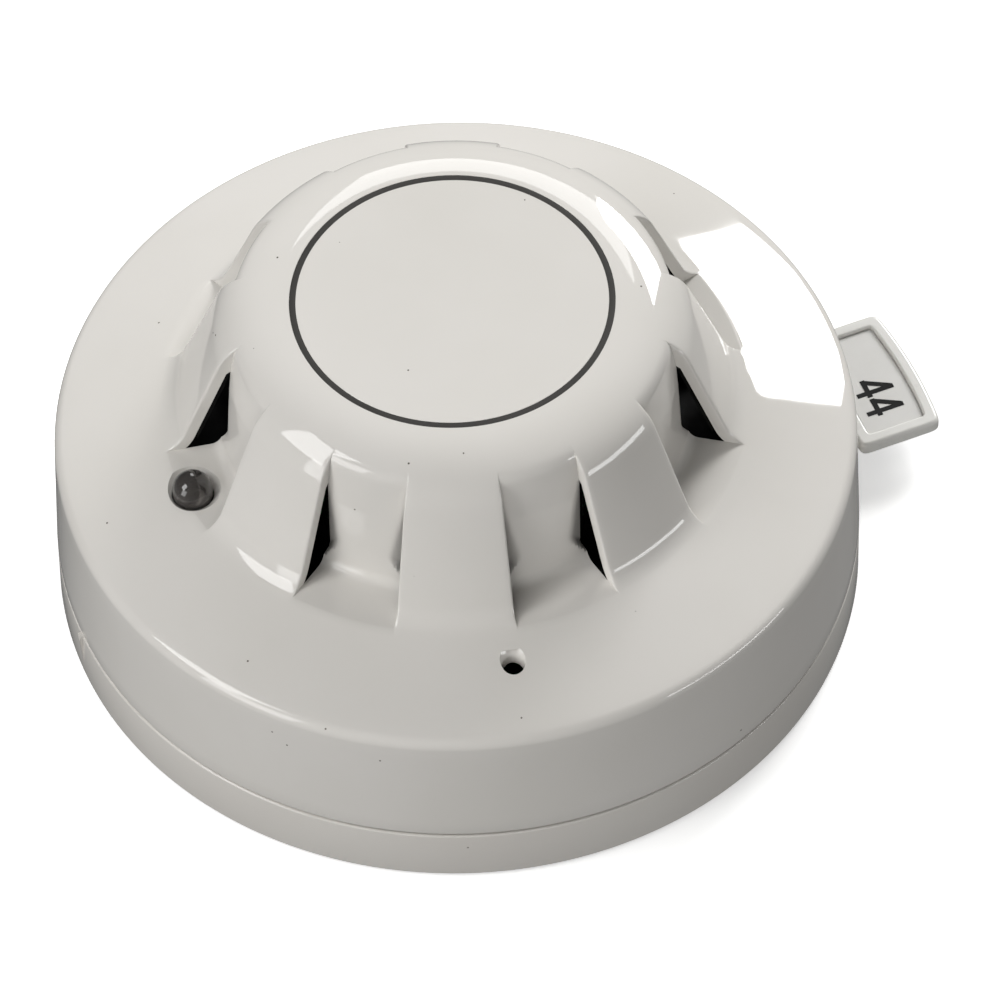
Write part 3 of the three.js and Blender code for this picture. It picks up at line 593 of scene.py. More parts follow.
port_edge = cheek(port, PORT_HALF)
hood = spaced(between(outside, lip_start, edge_index), 900)
hood_inside = offset(hood, HOOD_WALL)
opening_foot = crossings(hood_inside, port_edge)[-1]
opening_top = tuple(np.interp(OPENING_DROP, TOP - line[:, 1], np.arange(len(line)))
                    for line in (hood_inside, port_edge))
print(f"port floor {PORT_FLOOR:.2f} mm up; its openings run from "
      f"{between(port_edge, opening_foot[1], opening_foot[1] + 1e-3)[0].round(1)} to "
      f"{between(port_edge, opening_top[1], opening_top[1] + 1e-3)[0].round(1)}")

# %% [markdown]
# ## The cover's mesh
# The cover could be cut from a turned shell with Booleans, but a gloss surface shows every sliver that a
# Boolean leaves. So its rings are written out: whole rings on the dome and the flange, and between them two
# sheets, one that follows the hoods and one that dips into the ports, with strips that close the gap
# between them. The same is done for the inside, so that the cover is one closed body with a real wall
# thickness.

# %% Build the cover
PORT_COLUMNS = 28
EDGE_ROUND = 0.28
HOOD_COLUMNS = 22

pitch = 360 / PORT_COUNT
round_angles = [EDGE_ROUND * (1 - math.cos(math.radians(turn))) for turn in (0, 30, 60, 90)]
round_drops = [EDGE_ROUND * (1 - math.sin(math.radians(turn))) for turn in (0, 30, 60, 90)]
near_edge = [math.degrees(distance / PORT_OUTER * 1.15) for distance in round_angles]
hood_width = pitch - 2 * PORT_HALF
hood_angles = np.concatenate((
    near_edge[:-1], np.linspace(near_edge[-1], hood_width - near_edge[-1], HOOD_COLUMNS),
    [hood_width - angle for angle in near_edge[-2::-1]],
)) + PORT_HALF
hood_drops = np.concatenate((round_drops[:-1], np.zeros(HOOD_COLUMNS), round_drops[-2::-1]))
port_angles = np.linspace(-PORT_HALF, PORT_HALF, PORT_COLUMNS + 1)

vertices, faces = [], []


def put(radius, height, degrees):
    vertices.append((*polar(radius, degrees), height))
    return len(vertices) - 1


def whole_ring(radius, height):
    """One ring, as its columns for each port and for the hood after it."""
    ring = []
    for k in range(PORT_COUNT):
        ring.append([put(radius, height, k * pitch + angle) for angle in port_angles])
        ring.append([put(radius, height, k * pitch + angle) for angle in hood_angles[1:-1]])
    return ring


def around(ring):
    return [index for part in ring for index in part]


def bridge(first, second, closed=False):
    """Quads between two chains of the same length."""
    count = len(first)
    for i in range(count if closed else count - 1):
        j = (i + 1) % count
        face = list(dict.fromkeys((first[i], first[j], second[j], second[i])))
        if len(face) > 2:
            faces.append(face)


def port_part(ring, k):
    return ring[2 * k]


def hood_part(ring, k):
    return [ring[2 * k][-1]] + ring[2 * k + 1] + [ring[(2 * k + 2) % len(ring)][0]]


def sheet(start, rows, stop, part, angles, shape):
    """Rows of vertices between two rings, for every port or every hood."""
    grids = []
    for k in range(PORT_COUNT):
        grid = [part(start, k)]
        for row in range(1, len(rows) - 1):
            grid.append([put(*shape(row, column), k * pitch + angle) for column, angle in enumerate(angles)])
        grid.append(part(stop, k))
        for first, second in zip(grid, grid[1:]):
            bridge(first, second)
        grids.append(grid)
    return grids


def stretch(line, marks, counts):
    """A run cut at its marks, each stretch with its count of rows; gives the rows and the marks' numbers."""
    parts, numbers = [], [0]
    for start, stop, count in zip(marks, marks[1:], counts):
        part = spaced(between(line, start, stop), count)
        parts.append(part if not parts else part[1:])
        numbers.append(numbers[-1] + count)
    return np.vstack(parts), numbers


# Outer sheets: lip to opening, along the opening, opening to flange.
hood_marks = (0, opening_top[0], opening_foot[0], len(hood) - 1)
port_marks = (0, opening_top[1], opening_foot[1], len(port) - 1)
hood_rows, hood_stops = stretch(hood, hood_marks, (14, 36, 8))
port_rows, port_stops = stretch(port, port_marks, (14, 52, 8))
hood_normals = offset(hood_rows, 1) - hood_rows
fade = np.minimum(1, np.minimum(travel(hood_rows), travel(hood_rows)[-1] - travel(hood_rows)) / 1.5)


def hood_shape(row, column):
    return hood_rows[row] + hood_normals[row] * hood_drops[column] * fade[row]


def port_shape(row, column):
    return cheek(port_rows[row:row + 1], port_angles[column])[0]


# Inner sheets: the same three stretches, one wall further in.
under_dome = TOP - 2.0
slant = 2.0 / math.cos(math.radians(FLANGE_SLOPE))
opening_rows = offset(hood_rows, HOOD_WALL)[hood_stops[1]:hood_stops[2] + 1]
opening_rows[0] = cheek(port_rows[port_stops[1]:port_stops[1] + 1], PORT_HALF)[0]
opening_rows[-1] = port_rows[port_stops[2]]
dome_seam = (24.2, under_dome)
flange_seam = (38.4, flange_height(38.4) - slant)
hood_roof = spaced(run(dome_seam, (26.2, under_dome - 1.4), opening_rows[0]), 6)
hood_heel = spaced(run(opening_rows[-1], (34.6, 29.3), flange_seam), 6)
hood_in_rows = np.vstack((hood_roof, opening_rows[1:], hood_heel[1:]))
back_top = opening_rows[0] + (-SKIN, -0.4)
port_back = spaced(run(back_top, (CHEEK_IN - SKIN, PORT_FLOOR + 2.4), (28.2, PORT_FLOOR - SKIN),
                       (opening_rows[-1][0] + 0.4, PORT_FLOOR - SKIN)), 52)
port_in_rows = np.vstack((spaced(run(dome_seam, (25.4, under_dome - 1.4), port_back[0]), 6), port_back[1:],
                          spaced(run(port_back[-1], (36.0, PORT_FLOOR - SKIN - 0.2), flange_seam), 6)[1:]))

# Whole rings from the dome's middle to the lip, with the groove of the ring.
GROOVE_BEVEL = 0.025
groove_in, groove_out = RING_RADIUS - RING_WIDTH / 2, RING_RADIUS + RING_WIDTH / 2
groove = [(groove_in - GROOVE_BEVEL, TOP), (groove_in, TOP - GROOVE_BEVEL),
          (groove_in, TOP - RING_DEPTH), (groove_out, TOP - RING_DEPTH),
          (groove_out, TOP - GROOVE_BEVEL), (groove_out + GROOVE_BEVEL, TOP)]
dome_rows = run([(radius, TOP) for radius in np.linspace(2, 18, 9)], groove,
                spaced(between(outside, 0, lip_start), 14)[1:])
dome_rings = [whole_ring(*point) for point in dome_rows]
middle = put(0, TOP, 0)
bridge([middle] * len(around(dome_rings[0])), around(dome_rings[0]), closed=True)
for first, second in zip(dome_rings, dome_rings[1:]):
    bridge(around(first), around(second), closed=True)

# Whole rings from the flange down the skirt and back up inside it.
lower = between(outside, edge_index, len(outside) - 1)
flange_run = spaced(between(lower, 0, len(lower) - len(rim)), 14)
rim_run = spaced(lower[len(lower) - len(rim):], 8)
foot_edge = 0.35
skirt_run = run(rim_run[-1], spaced(run(rim_run[-1], (BODY_RADIUS, SKIRT_FOOT + foot_edge)), 8)[1:],
                arc((BODY_RADIUS - foot_edge, SKIRT_FOOT + foot_edge), foot_edge, 0, -90, 4)[1:])
inner_skirt = run((BODY_RADIUS - 2, SKIRT_FOOT), (BODY_RADIUS - 2, skirt_top - 0.5),
                  (rim[0][0] - 1, flange_height(rim[0][0] - 1) - slant), flange_seam)
outer_rings = [whole_ring(*point) for point in run(flange_run, rim_run, skirt_run[1:], inner_skirt)]
for first, second in zip(outer_rings, outer_rings[1:]):
    bridge(around(first), around(second), closed=True)
under_rings = [whole_ring(*point) for point in run(dome_seam, (12, under_dome))]
bridge(around(under_rings[0]), around(under_rings[1]), closed=True)
faces.append(around(under_rings[1]))

hood_out = sheet(dome_rings[-1], hood_rows, outer_rings[0], hood_part, hood_angles, hood_shape)
port_out = sheet(dome_rings[-1], port_rows, outer_rings[0], port_part, port_angles, port_shape)
hood_in = sheet(under_rings[0], hood_in_rows, outer_rings[-1], hood_part, hood_angles,
                lambda row, column: hood_in_rows[row])
port_in = sheet(under_rings[0], port_in_rows, outer_rings[-1], port_part, port_angles,
                lambda row, column: port_in_rows[row])


def edge_chain(grid, end):
    return [row[end] for row in grid]


hood_in_stops = (0, 6, 6 + 36, 6 + 36 + 6)
port_in_stops = (0, 6, 6 + 52, 6 + 52 + 6)
merged = {}
for k in range(PORT_COUNT):
    for hood_end, port_k, port_end in ((0, k, -1), (-1, (k + 1) % PORT_COUNT, 0)):
        ho = edge_chain(hood_out[k], hood_end)
        po = edge_chain(port_out[port_k], port_end)
        hi = edge_chain(hood_in[k], hood_end)
        pi = edge_chain(port_in[port_k], port_end)
        merged[hi[hood_in_stops[1]]] = po[port_stops[1]]
        merged[hi[hood_in_stops[2]]] = po[port_stops[2]]
        bridge(ho[:hood_stops[1] + 1], po[:port_stops[1] + 1])
        bridge(ho[hood_stops[1]:hood_stops[2] + 1], hi[hood_in_stops[1]:hood_in_stops[2] + 1])
        bridge(po[port_stops[1]:port_stops[2] + 1], pi[port_in_stops[1]:port_in_stops[2] + 1])
        bridge(ho[hood_stops[2]:], po[port_stops[2]:])
        bridge(hi[:hood_in_stops[1] + 1], pi[:port_in_stops[1] + 1])
        bridge(hi[hood_in_stops[2]:], pi[port_in_stops[2]:])
faces = [list(dict.fromkeys(merged.get(index, index) for index in face)) for face in faces]
faces = [face for face in faces if len(face) > 2]
cover = make_object("cover_moulding", vertices, faces, smooth_angle=32)
work = bmesh.new()
work.from_mesh(cover.data)
loose = [vertex for vertex in work.verts if not vertex.link_faces]
bmesh.ops.delete(work, geom=loose, context="VERTS")
open_edges = sum(1 for edge in work.edges if len(edge.link_faces) != 2)
work.to_mesh(cover.data)
work.free()
print(f"cover: {len(cover.data.polygons)} faces, {open_edges} open edges")

# %% [markdown]
# The indicator sits in a countersunk hole at the edge of one port's floor, and a small hole in the flange
# lets a key reach the locking screw. Both go through smooth surfaces of the finished cover, so here a
# Boolean is the right tool. Three posts under the flange take the screws that hold the chassis; they are
# joined the same way.

# %% Holes and posts of the cover
LED_RADIUS = 2.5
LED_HOLE = 2.62
LED_SINK = 3.45
LOCK_HOLE = 1.35

led_low, led_high = limits_mm("status_led")
LED_AT = ((led_low[0] + led_high[0]) / 2, (led_low[1] + led_high[1]) / 2)
lock_low, lock_high = limits_mm("locking_screw")
LOCK_AT = ((lock_low[0] + lock_high[0]) / 2, (lock_low[1] + lock_high[1]) / 2)
lock_surface = flange_height(math.hypot(*LOCK_AT))

sink = turned("led_hole", [
    (0, 20), (LED_HOLE, 20), (LED_HOLE, PORT_FLOOR - 0.95), (LED_SINK - 0.15, PORT_FLOOR - 0.25),
    (LED_SINK, PORT_FLOOR - 0.05), (LED_SINK + 0.25, PORT_FLOOR + 0.15), (LED_SINK + 0.25, 40), (0, 40),
], 64, LED_AT)
key_hole = turned("key_hole", [
    (0, 20), (LOCK_HOLE, 20), (LOCK_HOLE, lock_surface - 0.6), (LOCK_HOLE + 0.1, lock_surface - 0.1),
    (LOCK_HOLE + 0.6, lock_surface + 0.6), (0, lock_surface + 0.6),
], 48, LOCK_AT)
posts = []
for number in (1, 2, 3):
    post_low, post_high = limits_mm(f"cover_screw_{number}")
    x, y = (post_low[0] + post_high[0]) / 2, (post_low[1] + post_high[1]) / 2
    posts.append(disc("post", 3, 10.8, flange_height(math.hypot(x, y) + 3) - 0.8, (x, y)))
combine(cover, posts, "UNION")
bores = []
for number in (1, 2, 3):
    post_low, post_high = limits_mm(f"cover_screw_{number}")
    x, y = (post_low[0] + post_high[0]) / 2, (post_low[1] + post_high[1]) / 2
    bores.append(disc("bore", 1.5, 5, post_high[2] + 0.3, (x, y)))
combine(cover, [sink, key_hole, *bores], smooth_angle=32)
finish(cover, cover_abs, "head", ["outer_cover"])
print(f"cover with its holes: {len(cover.data.polygons)} faces")

# %% [markdown]
# ## Ring
# A thin dark ring lies in the groove, a hair below the dome. It is a turned piece with a slightly crowned
# top.

# %% Ring
ring_low = TOP - RING_DEPTH + 0.01
half_ring = RING_WIDTH / 2 - 0.01
ring_in, ring_out = RING_RADIUS - half_ring, RING_RADIUS + half_ring
ring_top = bezier([(ring_out, TOP - 0.04), (RING_RADIUS, TOP - 0.02), (ring_in, TOP - 0.04)], 6)
ring = turned("dome_ring", run((ring_in, ring_low), (ring_out, ring_low), ring_top), 256)
finish(ring, ring_ink, "head", ["ring_inlay"])

# %% [markdown]
# ## Indicator
# The status indicator is a 5 mm LED with a smoked lens: a domed cylinder of epoxy on a flange. Inside it
# sit the reflector cup and its lead post, which show through the lens as a paler spot.

# %% Indicator
lens_foot = led_low[2]
lens_centre = led_high[2] - LED_RADIUS
flange_radius = LED_RADIUS + 0.3
lens = turned("indicator_lens", run(
    (0, lens_foot), (flange_radius, lens_foot), (flange_radius, lens_foot + 0.9), (LED_RADIUS, lens_foot + 1),
    arc((0, lens_centre), LED_RADIUS, 0, 90, 24),
), 64, LED_AT, smooth_angle=40)
finish(lens, lens_epoxy, "head", ["status_led"])
cup = turned("indicator_reflector", [
    (0, lens_foot + 0.6), (0.45, lens_foot + 0.6), (0.5, lens_foot + 1.6), (1.0, lens_foot + 2.4),
    (0.9, lens_foot + 2.4), (0.35, lens_foot + 1.8), (0, lens_foot + 1.8),
], 32, LED_AT)
finish(cup, rolled_steel, "head")

# %% [markdown]
# ## Sensing chamber and shade linings
# Behind the ports stands a black cup with windows, on a brim that closes the space below. From its roof, a
# black lining reaches down inside each hood: painted shade, a dark sheet that stands for the shade under the
# hood. Air passes from port to port behind the hoods, and the eye meets only black. The cup is turned; the
# linings are sectors of one section, offset from the hoods' own inner face.

# %% Sensing chamber and painted-shade linings
SHADE_LINING_GAP = 0.2
SHADE_LINING_WALL = 0.6
SHADE_LINING_SETBACK = 0.9

shroud_low, shroud_high = limits_mm("sensing_shroud")
brim_radius = shroud_high[0]
cup_top = shroud_high[2]
cup_radius = CREASE[0] - 2.4
brim_top = PORT_FLOOR - 2.5
brim_low = brim_top - 1.2
chamber = turned("sensing_chamber_and_shade_linings", run(
    (0, cup_top), (0, cup_top - 1.2), (cup_radius - 1.2, cup_top - 1.2), (cup_radius - 1.2, brim_top - 0.4),
    (cup_radius - 1.2, shroud_low[2]), (cup_radius, shroud_low[2]),
    (cup_radius, brim_low), (brim_radius, brim_low),
    (brim_radius, brim_top), (cup_radius, brim_top), (cup_radius, cup_top - 0.5), (cup_radius - 0.5, cup_top),
)[::-1], 160)
# The linings are painted shade: black sheets just inside the hoods, where there is only shade.
shade_lining_face = offset(hood_rows, HOOD_WALL + SHADE_LINING_GAP)[hood_stops[1] + 2:hood_stops[2] - 2]
shade_lining_back = offset(hood_rows, HOOD_WALL + SHADE_LINING_GAP + SHADE_LINING_WALL)[hood_stops[1] + 2:hood_stops[2] - 2]
shade_lining_section = run((cup_radius - 0.6, shade_lining_face[0][1] - 0.1), shade_lining_face[::3], shade_lining_back[::-3],
                     (cup_radius - 0.6, shade_lining_back[0][1] - 0.4))
shade_linings = []
windows = []
for k in range(PORT_COUNT):
    start = k * pitch + PORT_HALF + SHADE_LINING_SETBACK
    shade_linings.append(sector("shade_lining", shade_lining_section, start, start + hood_width - 2 * SHADE_LINING_SETBACK, 12))
    middle_angle = (k + 0.5) * pitch
    windows.append(sector("window", [
        (cup_radius - 2, PORT_FLOOR + 1), (cup_radius + 0.4, PORT_FLOOR + 1),
        (cup_radius + 0.4, cup_top - 3.4), (cup_radius - 2, cup_top - 3.4),
    ], middle_angle - 8, middle_angle + 8))
windows.append(disc("led_way", LED_RADIUS + 1.2, 10, 29.5, LED_AT))
combine(chamber, shade_linings, "UNION")
combine(chamber, windows)
finish(chamber, chamber_black_and_painted_shade, "head", ["sensing_shroud"])
print(f"chamber: cup radius {cup_radius:.1f} mm, {PORT_COUNT} linings and windows")

# %% [markdown]
# ## Base
# The base is a shallow dish that screws to the ceiling. Its rim meets the head at the split line, where
# both edges are rounded a little and catch the light. Inside it has cable entries, slots for the two fixing
# screws, terminal pedestals, three bayonet lugs and the rails of the address card.

# %% Base dish
WALL = 2.0
FLOOR = 2.0
RIM_EDGE = 0.32
BACK_EDGE = 0.45

bore_radius = BODY_RADIUS - WALL
dish = turned("base_dish", run(
    (0, 0), arc((BODY_RADIUS - BACK_EDGE, BACK_EDGE), BACK_EDGE, -90, 0, 4),
    arc((BODY_RADIUS - RIM_EDGE, BASE_RIM - RIM_EDGE), RIM_EDGE, 0, 90, 5),
    (bore_radius + 0.15, BASE_RIM), (bore_radius, BASE_RIM - 0.15), (bore_radius, FLOOR + 0.6),
    (bore_radius - 0.6, FLOOR), (0, FLOOR),
), 256)

# %% [markdown]
# The fittings inside the dish are joined to it one by one, and the openings are cut last. Each is made from
# the same few sizes that the working model uses, so the two agree.

# %% Fittings and openings of the base
LUG_ANGLES = (70, 190, 310)
LUG_HALF = 7
LUG_REACH = 3
LUG_THICKNESS = 1.6
STOP_ANGLE = 2
TERMINAL_ANGLES = (122, 151, 180, 209, 238)
PEDESTAL = (10, 9, 2.2)
HUB = 9
ENTRY_WIDTH = 10
ENTRY = (100, 172)
FIXING = (25.5, 34.5)
SLOT_WIDTH = 4.2
PAD = (10, 3.5, 0.5)

screw_low, screw_high = limits_mm("terminal_screw_3")
terminal_radius = -(screw_low[0] + screw_high[0]) / 2
card_middle = (card_low[1] + card_high[1]) / 2
tongue_half = 7.6
card_bottom = card_low[2]
card_start = card_low[0]
card_top = card_bottom + 2.0
rail_top = card_top + 1.35

joins = []
for angle in LUG_ANGLES:
    lug = [(bore_radius - LUG_REACH, BASE_RIM - LUG_THICKNESS), (bore_radius + 0.5, BASE_RIM - LUG_THICKNESS),
           (bore_radius + 0.5, BASE_RIM - 0.02), (bore_radius - LUG_REACH, BASE_RIM - 0.02)]
    stop = [(bore_radius - LUG_REACH, FLOOR - 0.5), (bore_radius + 0.5, FLOOR - 0.5), lug[2], lug[3]]
    joins.append(sector("lug", lug, angle - LUG_HALF - 0.2, angle + LUG_HALF))
    joins.append(sector("stop", stop, angle - LUG_HALF - STOP_ANGLE, angle - LUG_HALF, 3))
for angle in TERMINAL_ANGLES:
    length, width, height = PEDESTAL
    pedestal = block("pedestal", terminal_radius - length / 2, terminal_radius + length / 2,
                     -width / 2, width / 2, FLOOR - 0.5, FLOOR + height)
    joins.append(turn(pedestal, angle))
for side in (1, -1):
    near, far = side * (FIXING[0] - PAD[1]), side * (FIXING[1] + PAD[1])
    pad = rounded([(-PAD[0] / 2, near), (PAD[0] / 2, near), (PAD[0] / 2, far), (-PAD[0] / 2, far)], 1.5)
    joins.append(prism("pad", pad, FLOOR - 0.5, FLOOR + PAD[2]))
    inner, outer = card_middle + side * (tongue_half + 0.3), card_middle + side * (tongue_half + 1.5)
    lip = card_middle + side * (tongue_half - 0.7)
    rail_end = bore_radius - LUG_REACH
    joins.append(block("rail", card_start, rail_end, inner, outer, FLOOR - 0.5, rail_top))
    joins.append(block("rail_lip", card_start, rail_end, lip, outer, card_top + 0.3, rail_top))

cuts = []
for start, stop in (ENTRY, (360 - ENTRY[1], 360 - ENTRY[0])):
    inner, outer = HUB + 1, HUB + 1 + ENTRY_WIDTH
    kidney = [polar(inner, a) for a in np.linspace(start, stop, 13)]
    kidney += [polar(outer, a) for a in np.linspace(stop, start, 13)]
    cuts.append(prism("entry", kidney, -1, FLOOR + 1))
for side in (1, -1):
    ends = [arc((0, side * y), SLOT_WIDTH / 2, *turns, 12) for y, turns in (
        (FIXING[1], (0, side * 180)), (FIXING[0], (180, 180 + side * 180)))]
    cuts.append(prism("slot", [tuple(point) for end in ends for point in end], -1, FLOOR + 2))
for angle in TERMINAL_ANGLES:
    cuts.append(disc("pilot", 1.8, 1, 6, polar(terminal_radius, angle), 32))
cuts.append(disc("lock_notch", 1.8, 1, 3, LOCK_AT, 32))
cuts.append(block("card_slot", BODY_RADIUS - 4, BODY_RADIUS + 2, card_middle - tongue_half - 0.3,
                  card_middle + tongue_half + 0.3, card_bottom - 0.3, card_high[2] + 0.3))

# %% [markdown]
# A small wedge on the base's edge marks where the head has to be lined up before it is twisted on. It is
# widest at the split line and runs out to nothing lower down.

# %% Alignment mark
MARK_ANGLE = 178.7
MARK_TOP_HALF = 0.55
MARK_PROUD = 0.42
MARK_FOOT = 2.6

mark_points = []
mark_levels = (
    (BASE_RIM - 0.05, MARK_TOP_HALF, MARK_PROUD - 0.1), (BASE_RIM - 0.3, MARK_TOP_HALF, MARK_PROUD),
    (BASE_RIM - 1.3, MARK_TOP_HALF * 0.75, MARK_PROUD * 0.9), (MARK_FOOT, 0.1, 0.02),
)
for height, half, proud in mark_levels:
    for radius, side in ((BODY_RADIUS - 1, -half), (BODY_RADIUS + proud, -half * 0.7),
                         (BODY_RADIUS + proud, half * 0.7), (BODY_RADIUS - 1, half)):
        mark_points.append((*polar(radius, MARK_ANGLE + math.degrees(side / radius)), height))
mark_faces = [(0, 1, 2, 3), (12, 13, 14, 15)]
for level in range(3):
    for i in range(4):
        j = (i + 1) % 4
        mark_faces.append((4 * level + i, 4 * level + j, 4 * level + 4 + j, 4 * level + 4 + i))
joins.append(make_object("mark", mark_points, mark_faces))
combine(dish, joins, "UNION")
combine(dish, cuts)
finish(dish, base_abs, "base", ["base_moulding"])
print(f"base: {len(dish.data.polygons)} faces")

# %% [markdown]
# ## Address card
# The card slides into the side of the base, and its pips set the detector's address. Outside the wall it
# ends in a paddle with a raised, well-rounded rim around a label. Its outer edge follows the body's circle.

# %% Address card
PADDLE_CORNER = 1.7
WINDOW_RIM = 1.7
WINDOW_DEPTH = 0.9
RIM_ROUND = 0.55
WINDOW_ROUND = 0.32
PADDLE_GAP = 1.4


def paddle(name, inset, corner, low, high):
    """The paddle's outline, moved in by an inset: three straight sides and an arc about the body's axis."""
    outer, inner = card_high[0] - inset, BODY_RADIUS + PADDLE_GAP + inset
    y0, y1 = card_low[1] + inset, card_high[1] - inset
    x0, x1 = math.sqrt(outer ** 2 - y0 ** 2), math.sqrt(outer ** 2 - y1 ** 2)
    steps = 6
    outline = rounded([(inner, y0), (x0, y0), (x1, y1), (inner, y1)], corner, steps)
    start, stop = np.array(outline[2 * steps + 1]), np.array(outline[2 * steps + 2])
    bow = [tuple(start + t * (stop - start)) for t in np.linspace(0, 1, 14)[1:-1]]
    outline = outline[:2 * steps + 2] + bow + outline[2 * steps + 2:]
    bulged = []
    for x, y in outline:
        chord = x0 + (x1 - x0) * (y - y0) / (y1 - y0)
        bulged.append((x + (math.sqrt(outer ** 2 - y ** 2) - chord) * (x > (inner + outer) / 2), y))
    return prism(name, bulged, low, high)


card = paddle("address_card_piece", 0, PADDLE_CORNER, card_bottom, card_top)
round_edges(card, RIM_ROUND, 4, 60)
window = paddle("window", WINDOW_RIM, 0.7, card_top - WINDOW_DEPTH, card_top + 1)
combine(card, [window])
round_edges(card, WINDOW_ROUND, 3, 60)

PIP_SIZE = 1.3
pip_heights = (card_top - 0.5, card_high[2])
tongue = block("tongue", card_start, BODY_RADIUS + PADDLE_GAP + 1.4, card_middle - tongue_half,
               card_middle + tongue_half, card_bottom + 0.01, card_top - 0.01)
round_edges(tongue, 0.25, 2)
fittings = [tongue]
for number in (2, 4, 5):
    button_low, button_high = limits_mm(f"address_button_{number}")
    x, y = (button_low[0] + button_high[0]) / 2, (button_low[1] + button_high[1]) / 2
    half = PIP_SIZE / 2
    fittings.append(block("pip", x - half, x + half, y - half, y + half, *pip_heights))
combine(card, fittings, "UNION")
flatten_faces(card)
finish(card, card_abs, "card", ["address_card"])
print(f"card: {len(card.data.polygons)} faces")

# %% [markdown]
# ## Label and number
# A paper label lies in the window. The number is cut as thin slips of ink just above the paper, from three
# straight strokes a figure, so that it stays a mesh and needs no font.

# %% Label and number
STROKE = 0.66
FIGURE_HEIGHT = 4.95
FIGURE_WIDTH = 2.85
FIGURE_PITCH = 3.15
FIGURE_FOOT = 54.3
FIGURE_START = 1.72
INK = 0.03

label_low, label_high = limits_mm("number_label")
label = paddle("number_label_piece", WINDOW_RIM + 0.12, 0.6, label_low[2], label_high[2])
finish(label, label_paper, "card", ["number_label"])


def stroke(start, stop, width, corner):
    """A straight stroke of a figure; across runs towards -Y and up towards +X, as the number is read."""
    (across0, up0), (across1, up1) = start, stop
    p = np.array((FIGURE_FOOT + up0, corner - across0))
    q = np.array((FIGURE_FOOT + up1, corner - across1))
    along = (q - p) / np.linalg.norm(q - p)
    side = np.array((-along[1], along[0])) * width / 2
    return prism("stroke", [tuple(p - side), tuple(q - side), tuple(q + side), tuple(p + side)],
                 label_high[2] + 0.01, label_high[2] + 0.01 + INK)


for index in range(2):
    corner = FIGURE_START - index * FIGURE_PITCH
    stem = FIGURE_WIDTH - 0.72
    bar = 1.55
    figure = stroke((stem, 0), (stem, FIGURE_HEIGHT), STROKE, corner)
    figure.name = f"figure_{index + 1}"
    combine(figure, [
        stroke((0, bar), (FIGURE_WIDTH, bar), STROKE, corner),
        stroke((0.26, bar - 0.1), (stem - 0.1, FIGURE_HEIGHT - 0.3), STROKE, corner),
    ], "UNION")
    finish(figure, number_ink, "card")
print("label and two figures")

# %% [markdown]
# ## Inner parts
# The parts behind the cover keep the shapes of the working model, because they are plain stampings, screws
# and boards. Each gets the finish of its real material.

# %% Finishes of the inner parts
inner_finishes = {
    chassis_abs: ["head_chassis"],
    button_acetal: [f"address_button_{i}" for i in range(1, 8)],
    pad_rubber: ["button_pad"],
    board_laminate: ["circuit_board"],
    bead_epoxy: ["thermistor"],
    black_housing: ["led_spacer"],
    chip_epoxy: ["processor_chip", "driver_chip"],
    sleeve_pvc: ["capacitor_1", "capacitor_2"],
    zinc_plate: [f"terminal_clamp_{i}" for i in range(1, 6)] + [f"terminal_screw_{i}" for i in range(1, 6)]
    + [f"cover_screw_{i}" for i in (1, 2, 3)] + [f"board_screw_{i}" for i in (1, 2, 3)],
    rolled_steel: [f"contact_plate_{i}" for i in range(1, 6)] + ["locking_screw"],
    spring_bronze: [f"contact_spring_{i}" for i in range(1, 6)],
}
for material, nodes in inner_finishes.items():
    for node in nodes:
        part = bpy.data.objects[node]
        part.data.materials.clear()
        part.data.materials.append(material)
print(sum(len(nodes) for nodes in inner_finishes.values()), "inner parts finished")

# %% [markdown]
# ## Camera
# The detector is seen from a little over 50 degrees up, through a long lens, so that its circles look like
# plain ellipses. The camera is turned a touch about its own axis, as a hand-held one is.

# %% Place the camera
AZIMUTH = math.radians(-21.8)
ELEVATION = math.radians(51.63)
ROLL = math.radians(-1.28)
DISTANCE = 1.3793
TARGET = Vector((4.893, -1.957, 10.62)) * MM

back = Vector((math.sin(AZIMUTH) * math.cos(ELEVATION), -math.cos(AZIMUTH) * math.cos(ELEVATION),
               math.sin(ELEVATION)))
level = Vector((math.cos(AZIMUTH), math.sin(AZIMUTH), 0))
upright = back.cross(level)
right = math.cos(ROLL) * level + math.sin(ROLL) * upright
above = math.cos(ROLL) * upright - math.sin(ROLL) * level
camera_data = bpy.data.cameras.new("camera")
camera_data.sensor_width = 36
camera_data.lens = 398.75
camera_data.clip_start = 0.05
camera_data.clip_end = 20
camera = bpy.data.objects.new("camera", camera_data)
camera.matrix_world = Matrix((
    (right.x, above.x, back.x, TARGET.x + DISTANCE * back.x),
    (right.y, above.y, back.y, TARGET.y + DISTANCE * back.y),
    (right.z, above.z, back.z, TARGET.z + DISTANCE * back.z),
    (0, 0, 0, 1),
))
bpy.context.scene.collection.objects.link(camera)
bpy.context.scene.camera = camera
print("camera at", [round(value, 3) for value in camera.matrix_world.translation])

# %% [markdown]
# ## Studio
# The floor is a sheet of opal acrylic lit from below, so it shows plain white. In a real studio it would
# also throw light up at the skirt. Here the floor is hidden from diffuse and glossy rays, and the world
# below the horizon gives a small, even amount of that light instead, which is easier to set. A light path
# node makes the world plain white where the camera sees it directly. Large boxes stand around the detector:
# the window behind to the right lies on the flange as a bright shape, two boxes on the left and a strip on
# the right pick out the rounded edges, and two fills soften the shadows without showing in the gloss.

# %% Floor, world and lights
bpy.context.scene.view_settings.view_transform = "Standard"

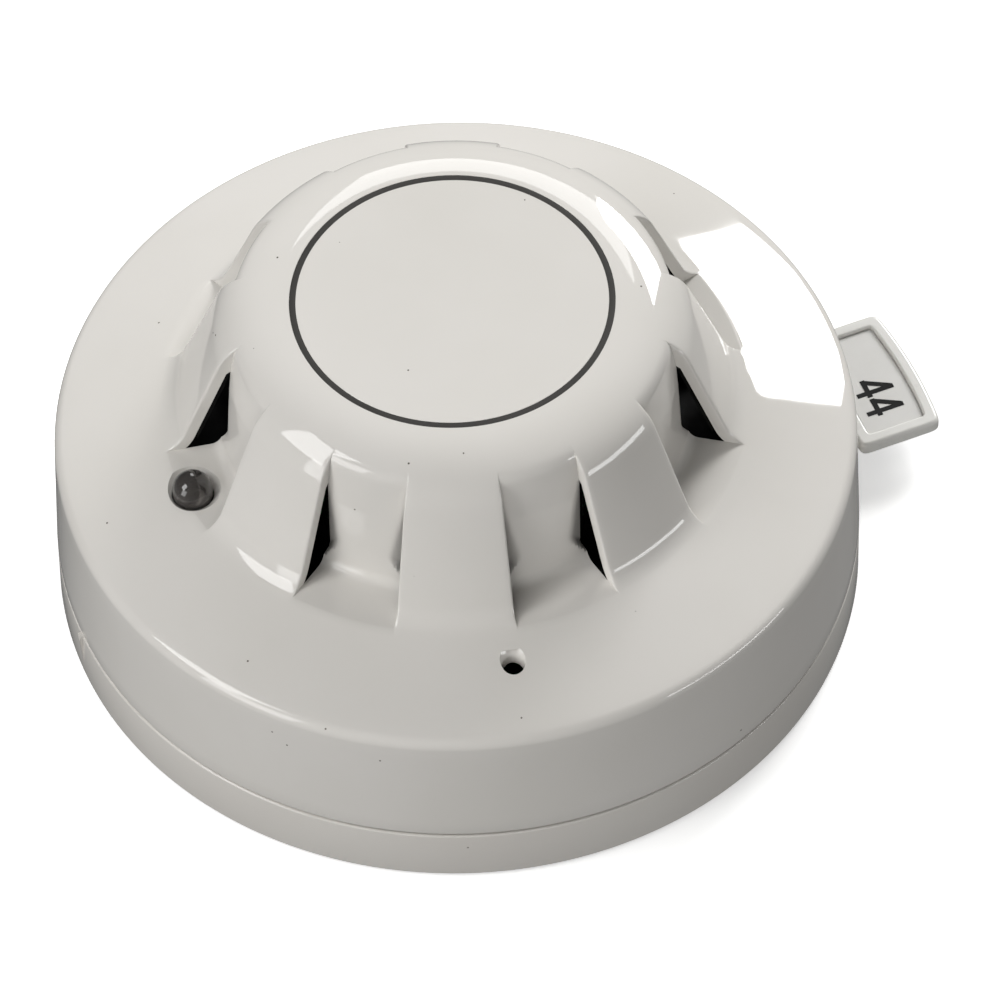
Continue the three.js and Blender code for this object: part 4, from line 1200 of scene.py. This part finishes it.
floor = prism("floor", [(-1500, -1500), (1500, -1500), (1500, 1500), (-1500, 1500)], -20, -0.3)
floor_paint, floor_shader = new_material("floor_acrylic_opal", IOR=1.49, Specular_IOR_Level=0.2,
                                         Emission_Color=linear("#ffffff"), Emission_Strength=0.5)
floor_place, _ = mottle(floor_paint, floor_shader, "#fafaf9", "#f7f7f6", size=60)
uneven_gloss(floor_paint, floor_shader, floor_place, 40, 0.75, 0.85)
floor.data.materials.append(floor_paint)
floor.visible_diffuse = False
floor.visible_glossy = False

SKY_FILL = 0.012
TABLE_GLOW = 0.15
LIGHT_DISTANCE = 1.5
world = bpy.data.worlds.new("studio")
bpy.context.scene.world = world
world.use_nodes = True
backdrop = world.node_tree.nodes["Background"]
backdrop.inputs["Color"].default_value = linear("#fefefe")
direction = add(world, "TexCoord")
height_part = add(world, "SeparateXYZ", Vector=direction.outputs["Generated"])
below = add(world, "MapRange", Value=height_part.outputs["Z"], From_Min=0.0, From_Max=-0.05,
            To_Min=SKY_FILL, To_Max=TABLE_GLOW)
ray = add(world, "LightPath")
seen = add(world, "MapRange", Value=ray.outputs["Is Camera Ray"], To_Min=below.outputs["Result"], To_Max=1.0)
world.node_tree.links.new(seen.outputs["Result"], backdrop.inputs["Strength"])


def area_light(name, azimuth, elevation, width, height, power):
    """A rectangular light that looks at the detector; its place and its spread are in degrees."""
    data = bpy.data.lights.new(name, "AREA")
    data.shape = "RECTANGLE"
    data.size, data.size_y = [
        2 * LIGHT_DISTANCE * math.tan(math.radians(angle / 2)) for angle in (width, height)]
    data.energy = power
    lamp = bpy.data.objects.new(name, data)
    across, up = polar(LIGHT_DISTANCE, elevation)
    lamp.location = (*polar(across, azimuth), up)
    lamp.rotation_euler = (-lamp.location).to_track_quat("-Z", "Y").to_euler()
    bpy.context.scene.collection.objects.link(lamp)
    return lamp


area_light("window", 39, 28, 20, 20, 19.5)
area_light("window_side", 63, 37, 26, 20, 4.5)
area_light("left_box", 178, 42, 22, 28, 7.4)
area_light("low_box", -163, 15, 24, 32, 5.6)
area_light("right_strip", -46, 5, 34, 9, 4.2)
for name, azimuth, elevation, power in (("top_fill", 178, 68, 5.2), ("front_fill", -114, 15, 5.4)):
    fill = area_light(name, azimuth, elevation, 30, 30, power)
    fill.visible_glossy = False
